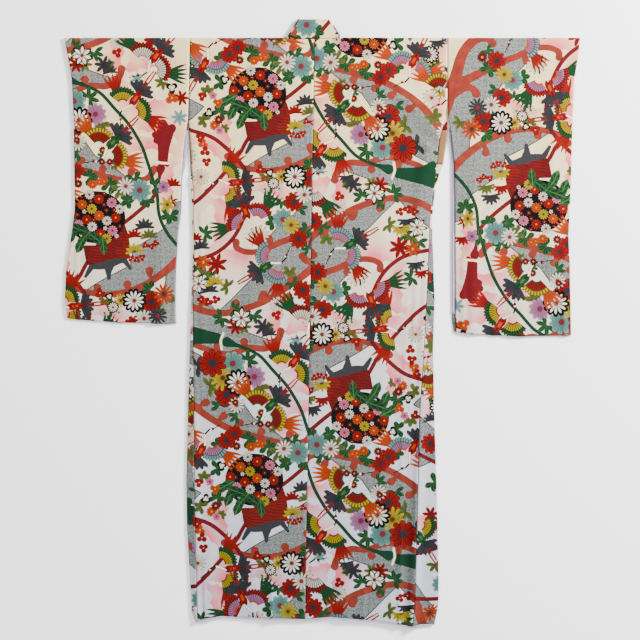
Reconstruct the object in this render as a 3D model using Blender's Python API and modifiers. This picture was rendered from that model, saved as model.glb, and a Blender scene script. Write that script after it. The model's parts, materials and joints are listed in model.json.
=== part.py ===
# Kimono for a woman, laid out flat with its back upwards and its sleeves spread.
#
# Metres, +Z up. +X runs from sleeve to sleeve and +Y from the hem to the collar, and the
# cloth rests on z = 0. Left and right are the viewer's, looking down on the back.
#
# Every panel is an open sheet that gets a wall. The sheet is a grid worked out from short
# tables of edges, and each fold is a half round between two layers. The front halves lie
# lowest, the right one over the left one where they cross. Over them lie the backs, each
# turned over the shoulder in one length with its front. The fronts come round the side
# edges and meet the backs in the side seams, as a strip that shows.

import math
from collections import namedtuple

import bmesh
import bpy
import numpy as np

# Walls and clearances
CLOTH = 0.0015              # a lined panel
COLLAR = 0.002              # the doubled collar
LINING = 0.001              # lining where it shows
SEAM_GAP = 0.0003           # between two sewn pieces
SIDE_GAP = 0.0008           # in the side seam, which stands up as a ridge
LAYER_GAP = 0.001           # between the two layers of one folded panel

# Cut sizes
SHOULDER_Y = 0.697          # outside of the fold over the shoulders
SLEEVE_JOIN = 0.198         # sleeve sewn to the body, down from the shoulder
WRIST_OPENING = 0.226       # open outer edge of a sleeve, down from the shoulder
SLEEVE_MIDDLE = 0.470       # a sleeve's middle, from the garment's middle
FRONT_WIDTH = 0.240         # a front, from the side seam to the overlap's seam
OVERLAP_WIDTH = 0.150       # the narrow panel sewn to each front
OVERLAP_TOP_Y = 0.468       # its upper point
NECK_HALF = 0.0665          # half of the neck opening
NECK_Y = SHOULDER_Y - 0.0035
COLLAR_END_Y = -0.100       # where the collar stops on the overlap's edge
COLLAR_WIDTH = 0.055
COLLAR_RISE = 0.0441        # the collar beyond the shoulder
COLLAR_TOP_HALF = 0.0355
COLLAR_LEAN = 0.100         # the collar turns from the neck to the front within this
COLLAR_TURN_IN = 0.0045     # its turn over the shoulder starts this far inside the neck opening
COLLAR_TURN_UP = 0.0015     # and this far beyond the shoulder
NECK_SLANT = 0.0065         # how far the front's neck line runs in, down to the overlap's point
HEM_ROLL = 0.0024           # how far the lining rolls out below the hem

# Heights of the layers' middles
LOW = CLOTH / 2
HIGH = CLOTH * 1.5 + LAYER_GAP
CROSS_STEP = COLLAR + 0.0004    # the right front half over the left one
BACK_STEP = 0.0026              # the backs over the crossed fronts
COLLAR_HIGH = 0.0078            # the collar behind the neck
LINING_HIGH = CLOTH + SEAM_GAP + LINING / 2

# Where the crossed fronts raise what lies on them
CROSS_RIGHT = (0.137, 0.162)
BACK_RAISED = (-0.200, -0.166, 0.142, 0.182)

# The side seam closes below the side opening between these heights
SEAM_OPEN_Y, SEAM_CLOSED_Y = 0.372, 0.322
LEAST_STRIP = 0.0012            # least width of the strip past the fold
OPENING_ROOM = 0.0022           # more room beside the back where the strip turns over

# Points: rows along a panel, columns across it, points round a fold
BODY_ROWS, SLEEVE_TOP_ROWS, SLEEVE_ROWS, OVERLAP_ROWS, NECK_ROWS = 26, 4, 12, 8, 6
SEAM_ROWS = 4
PANEL_COLUMNS, NECK_COLUMNS, SLEEVE_COLUMNS, OVERLAP_COLUMNS, COLLAR_COLUMNS = 10, 3, 9, 3, 2
FOLD_POINTS = 3
CROWDED = [(step / PANEL_COLUMNS) ** 1.6 for step in range(PANEL_COLUMNS + 1)]  # closer at the side
STRIP_SHARES = (0.4, 0.72, 0.9, 1.0)
NECK_HEIGHTS = [0.688, 0.665, 0.630, 0.590, 0.530, OVERLAP_TOP_Y + 0.001]
OPENING_HEIGHTS = [0.470, 0.447, 0.423, 0.400, 0.388]
LINING_INSET = 0.0002

Centre = namedtuple("Centre", "y x")
Side = namedtuple("Side", "y outline back")
Hem = namedtuple("Hem", "x y")
Sleeve = namedtuple("Sleeve", "y outer inner upper")
Fold = namedtuple("Fold", "start_x start_y end_x end_y half_width start_height end_height")

CENTRE_SEAM = [Centre(0.700, -0.0195), Centre(-0.165, -0.0334), Centre(-0.745, -0.0425)]

# A body's edges from the shoulder down: the garment's outline and the back panel's own edge
LEFT_SIDE = [
    Side(0.700, -0.3245, -0.3245),
    Side(0.499, -0.3277, -0.3265),
    Side(0.423, -0.3252, -0.3200),
    Side(0.354, -0.3218, -0.3184),
    Side(0.300, -0.3195, -0.3163),
    Side(0.168, -0.3172, -0.3137),
    Side(0.055, -0.3210, -0.3172),
    Side(-0.170, -0.3278, -0.3142),
    Side(-0.381, -0.3326, -0.3125),
    Side(-0.494, -0.3310, -0.3108),
    Side(-0.597, -0.3250, -0.3083),
    Side(-0.699, -0.3191, -0.3060),
    Side(-0.732, -0.3070, -0.3030),
]
RIGHT_SIDE = [
    Side(0.700, 0.3064, 0.3064),
    Side(0.540, 0.3064, 0.3054),
    Side(0.499, 0.3064, 0.2995),
    Side(0.447, 0.3055, 0.2850),
    Side(0.388, 0.2958, 0.2800),
    Side(0.354, 0.2836, 0.2772),
    Side(0.325, 0.2762, 0.2725),
    Side(0.280, 0.2712, 0.2660),
    Side(0.230, 0.2692, 0.2620),
    Side(0.055, 0.2752, 0.2545),
    Side(-0.062, 0.2713, 0.2485),
    Side(-0.227, 0.2745, 0.2375),
    Side(-0.381, 0.2795, 0.2340),
    Side(-0.580, 0.2843, 0.2289),
    Side(-0.690, 0.2851, 0.2243),
    Side(-0.738, 0.2750, 0.2200),
]

# The hem from left to right
HEM = [
    Hem(-0.340, -0.7300),
    Hem(-0.304, -0.7301),
    Hem(-0.288, -0.7240),
    Hem(-0.246, -0.7182),
    Hem(-0.210, -0.7210),
    Hem(-0.150, -0.7228),
    Hem(-0.042, -0.7257),
    Hem(0.021, -0.7200),
    Hem(0.066, -0.7240),
    Hem(0.130, -0.7300),
    Hem(0.174, -0.7364),
    Hem(0.220, -0.7436),
    Hem(0.240, -0.7386),
    Hem(0.300, -0.7370),
]

# A sleeve's edges from the top down: outer edge, inner edge, and the upper layer's inner edge
LEFT_SLEEVE = [
    Sleeve(0.700, -0.6315, -0.3248, -0.3248),
    Sleeve(0.653, -0.6229, -0.3255, -0.3255),
    Sleeve(0.594, -0.6131, -0.3265, -0.3265),
    Sleeve(0.499, -0.6085, -0.3280, -0.3292),
    Sleeve(0.459, -0.6080, -0.3289, -0.3355),
    Sleeve(0.423, -0.6075, -0.3301, -0.3400),
    Sleeve(0.386, -0.6070, -0.3350, -0.3429),
    Sleeve(0.359, -0.6066, -0.3424, -0.3455),
    Sleeve(0.271, -0.6057, -0.3449, -0.3479),
    Sleeve(0.222, -0.6118, -0.3520, -0.3546),
    Sleeve(0.109, -0.6278, -0.3578, -0.3604),
    Sleeve(0.043, -0.6303, -0.3583, -0.3610),
    Sleeve(-0.010, -0.6230, -0.3559, -0.3586),
]
RIGHT_SLEEVE = [
    Sleeve(0.700, 0.6315, 0.3067, 0.3067),
    Sleeve(0.653, 0.6266, 0.3067, 0.3067),
    Sleeve(0.594, 0.6168, 0.3067, 0.3067),
    Sleeve(0.499, 0.6135, 0.3067, 0.3080),
    Sleeve(0.459, 0.6120, 0.3105, 0.3150),
    Sleeve(0.418, 0.6107, 0.3154, 0.3195),
    Sleeve(0.386, 0.6100, 0.3171, 0.3228),
    Sleeve(0.300, 0.6070, 0.3174, 0.3247),
    Sleeve(0.212, 0.6030, 0.3174, 0.3255),
    Sleeve(0.148, 0.6058, 0.3174, 0.3259),
    Sleeve(-0.009, 0.6088, 0.3179, 0.3265),
    Sleeve(-0.040, 0.6094, 0.3228, 0.3275),
]

# The sleeves' bottoms from left to right
LEFT_BOTTOM = [Hem(-0.640, 0.0110), Hem(-0.569, 0.0050), Hem(-0.496, 0.0000), Hem(-0.340, -0.0025)]
RIGHT_BOTTOM = [
    Hem(0.300, -0.0160),
    Hem(0.326, -0.0230),
    Hem(0.386, -0.0290),
    Hem(0.455, -0.0330),
    Hem(0.640, -0.0316),
]

# Large soft folds of the upper layer
FOLDS = [
    Fold(0.262, 0.230, 0.2195, -0.760, 0.0130, 0.0010, 0.0085),     # right side seam
    Fold(0.190, -0.430, 0.178, -0.760, 0.0200, 0.0000, 0.0040),     # beside it at the hem
    Fold(-0.316, 0.050, -0.3045, -0.760, 0.0090, 0.0005, 0.0040),   # left side seam
    Fold(-0.283, -0.360, -0.272, -0.760, 0.0160, 0.0000, 0.0045),   # beside it at the hem
    Fold(-0.128, -0.500, -0.121, -0.760, 0.0150, 0.0000, 0.0035),   # left back at the hem
    Fold(0.068, -0.420, 0.052, -0.760, 0.0240, 0.0000, 0.0030),     # right back at the hem
    Fold(0.125, 0.640, 0.285, 0.460, 0.0200, 0.0005, 0.0040),       # right shoulder
    Fold(-0.180, 0.620, -0.308, 0.450, 0.0180, 0.0005, 0.0030),     # left shoulder
    Fold(0.258, 0.420, 0.205, 0.060, 0.0180, 0.0040, 0.0000),       # below the right opening
    Fold(-0.300, 0.400, -0.262, 0.060, 0.0160, 0.0030, 0.0000),     # below the left opening
    Fold(-0.392, 0.330, -0.405, -0.020, 0.0180, 0.0005, 0.0040),    # left sleeve, body side
    Fold(-0.560, 0.560, -0.568, 0.180, 0.0200, 0.0005, 0.0035),     # left sleeve, outer side
    Fold(0.372, 0.420, 0.366, -0.060, 0.0180, 0.0005, 0.0040),      # right sleeve, body side
    Fold(0.572, 0.560, 0.560, 0.160, 0.0200, 0.0005, 0.0035),       # right sleeve, outer side
    Fold(0.470, 0.180, 0.480, -0.060, 0.0240, 0.0000, 0.0030),      # right sleeve, bottom
]


def read(table, at, key, value):
    """A value of a table at a place, along straight stretches between its rows."""
    rows = sorted(table, key=lambda row: getattr(row, key))
    places = [getattr(row, key) for row in rows]
    values = [getattr(row, value) for row in rows]
    return float(np.interp(at, places, values))


def ease(value, start, end):
    """0 before start and 1 after end, turning smoothly between them."""
    share = min(1.0, max(0.0, (value - start) / (end - start)))
    return share * share * (3 - 2 * share)


def blend(start, end, share):
    """The value a share of the way from start to end."""
    return start + (end - start) * share


def lift(x, y):
    """Height that the large folds add to an upper layer at a place."""
    total = 0.0
    for fold in FOLDS:
        run_x, run_y = fold.end_x - fold.start_x, fold.end_y - fold.start_y
        length = math.hypot(run_x, run_y)
        share = ((x - fold.start_x) * run_x + (y - fold.start_y) * run_y) / length**2
        off = abs((x - fold.start_x) * run_y - (y - fold.start_y) * run_x) / length
        past = max(0.0, -share, share - 1) * length / (2 * fold.half_width)
        height = blend(fold.start_height, fold.end_height, min(1.0, max(0.0, share)))
        total += height * math.exp(-((off / fold.half_width) ** 2) - past**2)
    return total


def back_height(x, y):
    """Middle of an upper layer, raised where the fronts cross below it."""
    left_start, left_end, right_start, right_end = BACK_RAISED
    raised = ease(x, left_start, left_end) * (1 - ease(x, right_start, right_end))
    return HIGH + BACK_STEP * raised + lift(x, y)


def front_height(side, x):
    """Middle of a front half: the left one lies flat, the right one climbs over it."""
    if side < 0:
        return LOW
    return LOW + CROSS_STEP * (1 - ease(x, *CROSS_RIGHT))


def neck_x(side):
    """Where the neck opening ends on the shoulder."""
    return read(CENTRE_SEAM, SHOULDER_Y, "y", "x") + side * NECK_HALF


def hem_y(x):
    """The lowest point of the body at x."""
    return read(HEM, x, "x", "y")


def shares(count):
    """Evenly spaced shares from 0 to 1."""
    return [step / count for step in range(count + 1)]


def half_round(start, end, out):
    """Points between two points one over the other, bulging along out."""
    start, end, out = np.array(start), np.array(end), np.array(out)
    middle = (start + end) / 2
    points = []
    for step in range(1, FOLD_POINTS + 1):
        turn = math.pi * step / (FOLD_POINTS + 1)
        points.append(middle + (start - middle) * math.cos(turn) + out * math.sin(turn))
    return points


class Panel:
    """An open sheet under way: named points, and rows of names that are joined by faces."""

    def __init__(self):
        self.points = {}
        self.faces = []

    def grid(self, rows):
        """Faces between neighbouring rows of names. A name without a point leaves a hole."""
        for first, second in zip(rows, rows[1:]):
            for place in range(len(first) - 1):
                corners = [first[place], first[place + 1], second[place + 1], second[place]]
                if all(corner in self.points for corner in corners):
                    self.faces.append(corners)

    def fold(self, key, upper, lower, out):
        """Names from an upper point to the lower one, with the points round the fold between them."""
        start, end = self.points[upper], self.points[lower]
        reach = (start[2] - end[2]) / 2
        bend = half_round(start, end, (out[0] * reach, out[1] * reach, 0))
        names = [(*key, step) for step in range(FOLD_POINTS)]
        self.points.update(zip(names, bend))
        return [upper] + names + [lower]

    def build(self, name, wall, material, collection):
        """The sheet as an object with a wall round it."""
        order = {key: place for place, key in enumerate(self.points)}
        points = [tuple(float(value) for value in point) for point in self.points.values()]
        faces = [[order[corner] for corner in corners] for corners in self.faces]
        mesh = bpy.data.meshes.new(name)
        mesh.from_pydata(points, [], faces)
        shape = bmesh.new()
        shape.from_mesh(mesh)
        bmesh.ops.recalc_face_normals(shape, faces=shape.faces)
        shape.to_mesh(mesh)
        shape.free()
        mesh.materials.append(material)
        panel = bpy.data.objects.new(name, mesh)
        collection.objects.link(panel)
        solid = panel.modifiers.new("wall", "SOLIDIFY")
        solid.thickness = wall
        solid.offset = 0.0
        solid.use_even_offset = True
        return panel


def cloth_material(name, colour, roughness):
    """A plain finish for a piece."""
    material = bpy.data.materials.new(name)
    material.use_nodes = True
    shader = material.node_tree.nodes["Principled BSDF"]
    shader.inputs["Base Color"].default_value = (*colour, 1.0)
    shader.inputs["Roughness"].default_value = roughness
    shader.inputs["Metallic"].default_value = 0.0
    material.diffuse_color = (*colour, 1.0)
    return material


def fold_radius(side, x, y):
    """Half of the height between the back and the front at a place."""
    return (back_height(x, y) - front_height(side, x)) / 2


def seam_closed(y):
    """0 in the side opening, 1 where the side seam is sewn."""
    return 1 - ease(y, SEAM_CLOSED_Y, SEAM_OPEN_Y)


def back_edge(side, table, y):
    """x of the back panel's own edge, which leaves room for the turned strip."""
    outline = read(table, y, "y", "outline")
    edge = read(table, y, "y", "back")
    opening_end = ease(y, SEAM_CLOSED_Y - 0.050, SEAM_CLOSED_Y)
    turned = CLOTH / 2 + fold_radius(side, outline, y) + LEAST_STRIP + OPENING_ROOM * opening_end
    least = outline - side * turned * ease(y, SEAM_OPEN_Y + 0.020, SEAM_OPEN_Y)
    return side * min(side * edge, side * least)


def front_edge(side, table, y):
    """x of the front's inner edge: the neck line down to the overlap's point, then its seam."""
    low = hem_y(side * FRONT_WIDTH)
    top_x = neck_x(side)
    point_x = top_x - side * NECK_SLANT
    if y > OVERLAP_TOP_Y:
        return blend(top_x, point_x, (SHOULDER_Y - y) / (SHOULDER_Y - OVERLAP_TOP_Y))
    outline = read(table, low, "y", "outline")
    turned = abs(outline - read(table, low, "y", "back"))
    seam_x = outline - side * (FRONT_WIDTH - turned)
    return blend(point_x, seam_x, (OVERLAP_TOP_Y - y) / (OVERLAP_TOP_Y - low))


def overlap_width(y):
    """Width of the overlap panel, which narrows to a point along the collar."""
    return OVERLAP_WIDTH * min(1.0, (OVERLAP_TOP_Y - y) / (OVERLAP_TOP_Y - COLLAR_END_Y))


def turned_strip(side, table, y):
    """The front's outer stretch from its flat part to its free edge, as x and z.

    It lies flat in the side opening. Where the seam is sewn it goes round the side edge
    in a half round and back over it, as far as the seam.
    """
    outline = read(table, y, "y", "outline")
    radius = fold_radius(side, outline - side * CLOTH, y)
    closed = seam_closed(y)
    turn = math.pi * closed
    around = radius * math.pi
    seam_x = back_edge(side, table, y) + side * SIDE_GAP
    flat_end = outline - side * (CLOTH / 2 + radius)
    tail = abs(flat_end - seam_x) if closed == 1 else LEAST_STRIP
    steps = [around * step / (FOLD_POINTS + 1) for step in range(FOLD_POINTS + 2)]
    steps += [around + tail * share for share in STRIP_SHARES]
    profile = []
    for step in steps:
        bent = min(step, radius * turn)
        straight = step - bent
        out = radius * math.sin(bent / radius) + straight * math.cos(turn)
        up = radius - radius * math.cos(bent / radius) + straight * math.sin(turn)
        profile.append((out, up))
    reach = max(out for out, _ in profile) + CLOTH / 2 * math.sin(turn / 2)
    points = []
    for out, up in profile:
        x = outline + side * (out - reach)
        z = LOW + up
        if closed == 1 and up > 1.999 * radius:
            z = back_height(x, y)
        points.append((x, z))
    return points


def place_y(x, y, nominal_low):
    """Stretches a row's y so that the lowest row lies on the hem."""
    return SHOULDER_Y + (hem_y(x) - SHOULDER_Y) * (SHOULDER_Y - y) / (SHOULDER_Y - nominal_low)


def body_heights(low):
    """Heights of a body's rows from the shoulder to the hem, with rows where edges begin or end."""
    heights = [blend(SHOULDER_Y, low, share) for share in shares(BODY_ROWS)]
    heights.append(SHOULDER_Y - SLEEVE_JOIN)
    heights += [blend(SEAM_OPEN_Y, SEAM_CLOSED_Y, share) for share in shares(SEAM_ROWS)]
    return sorted(heights, reverse=True)


def shoulder_y(side, x):
    """y of the top row of a body's back and front, from where it turns over the shoulder."""
    return SHOULDER_Y - CLOTH / 2 - fold_radius(side, x, SHOULDER_Y)


def body_back(panel, side, table, heights):
    """Adds the back to a body panel and gives its rows of names from the shoulder down."""
    low = heights[-1]
    rows = []
    for row, y in enumerate(heights):
        share = (SHOULDER_Y - y) / (SHOULDER_Y - low)
        outer = back_edge(side, table, y)
        seam = read(CENTRE_SEAM, y, "y", "x")
        seam_y = blend(NECK_Y, hem_y(seam), share)
        seam = read(CENTRE_SEAM, seam_y, "y", "x") + side * SEAM_GAP / 2
        names = []
        for place in range(PANEL_COLUMNS + NECK_COLUMNS + 1):
            if place <= PANEL_COLUMNS:
                x = blend(outer, neck_x(side), CROWDED[place])
                top = shoulder_y(side, x)
            else:
                x = blend(neck_x(side), seam, (place - PANEL_COLUMNS) / NECK_COLUMNS)
                top = NECK_Y
            point_y = blend(top, hem_y(x), share)
            panel.points["back", row, place] = (x, point_y, back_height(x, point_y))
            names.append(("back", row, place))
        rows.append(names)
    return rows


def body_front(panel, side, table, heights):
    """Adds the front with its turned strip and gives its rows of names from the shoulder down."""
    low = heights[-1]
    join_y = SHOULDER_Y - SLEEVE_JOIN
    rows = []
    for row, y in enumerate(heights):
        strip = turned_strip(side, table, y)
        turned = y <= join_y
        names = [("strip", row, place) for place in range(len(strip) - 1, 0, -1)]
        if turned:
            for name in names:
                x, z = strip[name[2]]
                panel.points[name] = (x, place_y(x, y, low), z)
        outer = strip[0][0] if turned else read(table, y, "y", "outline")
        inner = front_edge(side, table, y) + side * SEAM_GAP
        for place in range(PANEL_COLUMNS + 1):
            x = blend(outer, inner, CROWDED[place])
            point_y = place_y(x, y, low)
            if row == 0:
                x = panel.points["back", 0, place][0]
                point_y = shoulder_y(side, x)
            panel.points["front", row, place] = (x, point_y, front_height(side, x))
            names.append(("front", row, place))
        rows.append(names)
        if turned and heights[row - 1] > join_y:
            ends = names[:len(strip)]
            panel.faces.append([("front", row - 1, 0)] + ends)
    return rows


def body_panel(side, table):
    """One body panel, from the back's hem over the shoulder to the front's hem."""
    panel = Panel()
    heights = body_heights(hem_y(side * FRONT_WIDTH))
    panel.last = len(heights) - 1
    panel.grid(body_back(panel, side, table, heights))
    panel.grid(body_front(panel, side, table, heights))
    folds = []
    for place in range(PANEL_COLUMNS + 1):
        ends = ("back", 0, place), ("front", 0, place)
        folds.append(panel.fold(("shoulder", place), *ends, (0, 1)))
    panel.grid(folds)
    return panel


def overlap_heights():
    """Heights of the rows that the overlap panel and the collar on it share."""
    return [blend(OVERLAP_TOP_Y - 0.020, COLLAR_END_Y, share) for share in shares(OVERLAP_ROWS)]


def overlap_panel(side, table):
    """The narrow panel between a front and the collar, from its point to the hem."""
    panel = Panel()
    low = hem_y(side * FRONT_WIDTH)
    heights = overlap_heights() + [blend(COLLAR_END_Y, low, share) for share in shares(OVERLAP_ROWS)][1:]
    rows = []
    for row, y in enumerate(heights):
        start = front_edge(side, table, y)
        names = [(row, place) for place in range(OVERLAP_COLUMNS + 1)]
        for name in names:
            x = start - side * overlap_width(y) * name[1] / OVERLAP_COLUMNS
            panel.points[name] = (x, place_y(x, y, low), front_height(side, x))
        rows.append(names)
    panel.grid(rows)
    return panel


def collar_turn(side):
    """The collar's seam end and free end on the line where it turns over the shoulder."""
    centre = read(CENTRE_SEAM, SHOULDER_Y, "y", "x")
    base = (neck_x(side) - side * COLLAR_TURN_IN, SHOULDER_Y + COLLAR_TURN_UP)
    top = (centre + side * COLLAR_TOP_HALF, SHOULDER_Y + COLLAR_RISE)
    return base, top


def collar_front(panel, side, table):
    """Adds the stretch of collar on one front and gives its rows from the shoulder down."""
    low = hem_y(side * FRONT_WIDTH)
    base, top = collar_turn(side)
    sections = [(base, top)]
    for y in NECK_HEIGHTS + overlap_heights():
        seam = front_edge(side, table, y)
        if y < OVERLAP_TOP_Y:
            seam -= side * (overlap_width(y) + SEAM_GAP)
        lean = ease(y, SHOULDER_Y - COLLAR_LEAN, SHOULDER_Y)
        free = seam - side * blend(COLLAR_WIDTH, abs(top[0] - base[0]), lean)
        seam_y = place_y(seam, y, low)
        sections.append(((seam, seam_y), (free, seam_y + COLLAR_RISE * lean)))
    rows = []
    for row, (seam, free) in enumerate(sections):
        names = [(side, row, place) for place in range(COLLAR_COLUMNS + 1)]
        for name in names:
            share = name[2] / COLLAR_COLUMNS
            x, y = blend(seam[0], free[0], share), blend(seam[1], free[1], share)
            panel.points[name] = (x, y, front_height(side, x) + (COLLAR - CLOTH) / 2)
        rows.append(names)
    return rows


def collar_back(panel):
    """Adds the stretch behind the neck, which reaches beyond the shoulders, and gives its rows."""
    (left_base, left_top), (right_base, right_top) = collar_turn(-1), collar_turn(1)
    rows = []
    for row, share in enumerate(shares(NECK_ROWS)):
        at_end = row in (0, NECK_ROWS)
        seam_y = left_base[1] if at_end else NECK_Y + SEAM_GAP
        seam = (blend(left_base[0], right_base[0], share), seam_y)
        free = (blend(left_top[0], right_top[0], share), left_top[1])
        seam_z = COLLAR_HIGH if at_end else back_height(seam[0], seam_y) + (COLLAR - CLOTH) / 2
        names = [("neck", row, place) for place in range(COLLAR_COLUMNS + 1)]
        for name in names:
            across = name[2] / COLLAR_COLUMNS
            x, y = blend(seam[0], free[0], across), blend(seam[1], free[1], across)
            panel.points[name] = (x, y, blend(seam_z, COLLAR_HIGH, min(1.0, across * 2)))
        rows.append(names)
    return rows


def collar_panel():
    """The doubled band: up the left front, behind the neck, and down the right front."""
    panel = Panel()
    fronts = {side: collar_front(panel, side, table) for side, table in ((-1, LEFT_SIDE), (1, RIGHT_SIDE))}
    back = collar_back(panel)
    rows = fronts[-1][::-1] + back + fronts[1]
    panel.grid(fronts[-1])
    panel.grid(back)
    panel.grid(fronts[1])
    for side, upper in ((-1, back[0]), (1, back[-1])):
        lean = math.atan2(abs(collar_turn(side)[0][0] - collar_turn(side)[1][0]), COLLAR_RISE)
        out = (side * math.cos(lean), math.sin(lean))
        lower = fronts[side][0]
        panel.grid([
            panel.fold(("turn", side, place), upper[place], lower[place], out)
            for place in range(COLLAR_COLUMNS + 1)
        ])
    return panel


def sleeve_layer(panel, layer, side, table, bottom, heights, closed_from):
    """Adds one layer of a sleeve and gives its rows of names from the top down."""
    low = heights[-1]
    rows = []
    for row, y in enumerate(heights):
        start = read(table, y, "y", layer)
        end = read(table, y, "y", "outer")
        if row >= closed_from:
            end -= side * (CLOTH / 2 + (back_height(end, y) - LOW) / 2)
        names = [(layer, row, place) for place in range(SLEEVE_COLUMNS + 1)]
        for name in names:
            x = blend(start, end, name[2] / SLEEVE_COLUMNS)
            room = CLOTH / 2 + (back_height(x, SHOULDER_Y) - LOW) / 2
            share = (SHOULDER_Y - y) / (SHOULDER_Y - low)
            point_y = blend(SHOULDER_Y - room, read(bottom, x, "x", "y") + room, share)
            panel.points[name] = (x, point_y, LOW if layer == "inner" else back_height(x, point_y))
        rows.append(names)
    return rows


def sleeve_panel(side, table, bottom):
    """A sleeve bag: folded along the top, open at the wrist and the inner edge, closed below."""
    panel = Panel()
    join_y, wrist_y = SHOULDER_Y - SLEEVE_JOIN, SHOULDER_Y - WRIST_OPENING
    low = read(bottom, side * SLEEVE_MIDDLE, "x", "y")
    heights = [blend(SHOULDER_Y, join_y, share) for share in shares(SLEEVE_TOP_ROWS)]
    heights += [blend(wrist_y, low, share) for share in shares(SLEEVE_ROWS)]
    wrist, last = SLEEVE_TOP_ROWS + 1, len(heights) - 1
    panel.join, panel.last = SLEEVE_TOP_ROWS, last
    for layer in ("upper", "inner"):
        panel.grid(sleeve_layer(panel, layer, side, table, bottom, heights, wrist))
    edge = SLEEVE_COLUMNS
    outer = {
        row: panel.fold(("side", row), ("upper", row, edge), ("inner", row, edge), (side, 0))
        for row in range(wrist, last + 1)
    }
    panel.grid(list(outer.values()))
    panel.grid([
        panel.fold(("top", place), ("upper", 0, place), ("inner", 0, place), (0, 1))
        for place in range(edge + 1)
    ])
    below = [
        panel.fold(("bottom", place), ("upper", last, place), ("inner", last, place), (0, -1))
        for place in range(edge)
    ]
    panel.grid(below + [outer[last]])
    return panel


def strip_panel(pairs):
    """A narrow lining between two edges, as a point on each for every row."""
    panel = Panel()
    rows = []
    for row, pair in enumerate(pairs):
        names = [(row, edge) for edge in (0, 1)]
        for name, point in zip(names, pair):
            panel.points[name] = point
        rows.append(names)
    panel.grid(rows)
    return panel


def sleeve_lining(side, sleeve):
    """The strip on the lower layer that the upper layer's inner edge leaves bare."""
    pairs = []
    for row in range(sleeve.join + 1, sleeve.last):
        upper, inner = sleeve.points["upper", row, 0], sleeve.points["inner", row, 0]
        pairs.append([
            (inner[0] + side * LINING_INSET, inner[1], LINING_HIGH),
            (upper[0] - side * SEAM_GAP, upper[1], LINING_HIGH),
        ])
    return strip_panel(pairs)


def front_lining(side, table):
    """The inside of the front that shows beside the back's free edge in the side opening."""
    pairs = []
    for y in OPENING_HEIGHTS:
        edge = back_edge(side, table, y) + side * SEAM_GAP
        outline = read(table, y, "y", "outline") - side * LINING_INSET
        pairs.append([(edge, y, LINING_HIGH), (outline, y, LINING_HIGH)])
    return strip_panel(pairs)


def hem_lining(body):
    """The roll of lining below the hem, from the centre seam to the side edge."""
    columns = PANEL_COLUMNS + NECK_COLUMNS
    names = [("back", body.last, place) for place in range(columns, -1, -1)]
    strip_end = FOLD_POINTS + 1 + len(STRIP_SHARES)
    names += [("strip", body.last, place) for place in range(strip_end, FOLD_POINTS, -1)]
    pairs = []
    for name in names:
        x, y, z = body.points[name]
        pairs.append([(x, y - SEAM_GAP, z), (x, y - SEAM_GAP - HEM_ROLL, z)])
    return strip_panel(pairs)


def main():
    for existing in list(bpy.data.objects):
        bpy.data.objects.remove(existing, do_unlink=True)
    garment = bpy.data.collections.new("kimono")
    bpy.context.scene.collection.children.link(garment)
    silk = cloth_material("printed_silk", (0.80, 0.74, 0.66), 0.62)
    pale = cloth_material("lavender_lining", (0.62, 0.58, 0.72), 0.55)
    tan = cloth_material("tan_lining", (0.46, 0.33, 0.20), 0.70)
    for side, word, table, sleeve_table, bottom in (
        (-1, "left", LEFT_SIDE, LEFT_SLEEVE, LEFT_BOTTOM),
        (1, "right", RIGHT_SIDE, RIGHT_SLEEVE, RIGHT_BOTTOM),
    ):
        body = body_panel(side, table)
        sleeve = sleeve_panel(side, sleeve_table, bottom)
        body.build(f"body_{word}", CLOTH, silk, garment)
        overlap_panel(side, table).build(f"okumi_{word}", CLOTH, silk, garment)
        sleeve.build(f"sleeve_{word}", CLOTH, silk, garment)
        sleeve_lining(side, sleeve).build(f"sleeve_lining_{word}", LINING, pale, garment)
        front_lining(side, table).build(f"front_lining_{word}", LINING, tan, garment)
        hem_lining(body).build(f"hem_lining_{word}", CLOTH, pale, garment)
    collar_panel().build("collar", COLLAR, silk, garment)


main()
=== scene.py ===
import json
import math
from functools import partialmethod

import bmesh
import bpy
import numpy as np
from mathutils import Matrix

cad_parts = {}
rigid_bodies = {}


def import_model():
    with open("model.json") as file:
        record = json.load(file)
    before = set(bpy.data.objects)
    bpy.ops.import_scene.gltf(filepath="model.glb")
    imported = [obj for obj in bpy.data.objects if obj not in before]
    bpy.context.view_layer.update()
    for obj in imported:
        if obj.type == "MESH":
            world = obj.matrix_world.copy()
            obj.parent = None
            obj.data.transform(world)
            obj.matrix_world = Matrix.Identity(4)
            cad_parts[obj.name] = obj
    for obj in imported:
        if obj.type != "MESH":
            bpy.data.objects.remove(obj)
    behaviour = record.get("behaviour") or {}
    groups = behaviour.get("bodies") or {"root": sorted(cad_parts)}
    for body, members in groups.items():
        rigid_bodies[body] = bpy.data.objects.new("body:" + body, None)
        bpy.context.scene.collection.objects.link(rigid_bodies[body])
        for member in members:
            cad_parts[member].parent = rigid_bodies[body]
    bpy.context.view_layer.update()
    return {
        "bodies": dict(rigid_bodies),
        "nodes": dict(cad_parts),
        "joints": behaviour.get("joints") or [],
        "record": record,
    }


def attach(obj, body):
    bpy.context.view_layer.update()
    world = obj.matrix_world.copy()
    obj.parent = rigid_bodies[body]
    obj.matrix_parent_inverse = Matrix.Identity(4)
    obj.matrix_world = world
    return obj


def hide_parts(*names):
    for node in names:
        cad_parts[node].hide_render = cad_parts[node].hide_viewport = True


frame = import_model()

# Kimono laid out flat with its back upwards. Metres, +X from sleeve to sleeve, +Y from hem to collar.
# Left and right are the viewer's; side is -1 on the left and 1 on the right.

leftAndRight = ((-1, "left"), (1, "right"))
scene = bpy.context.scene


# Camera, light and floor

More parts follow.
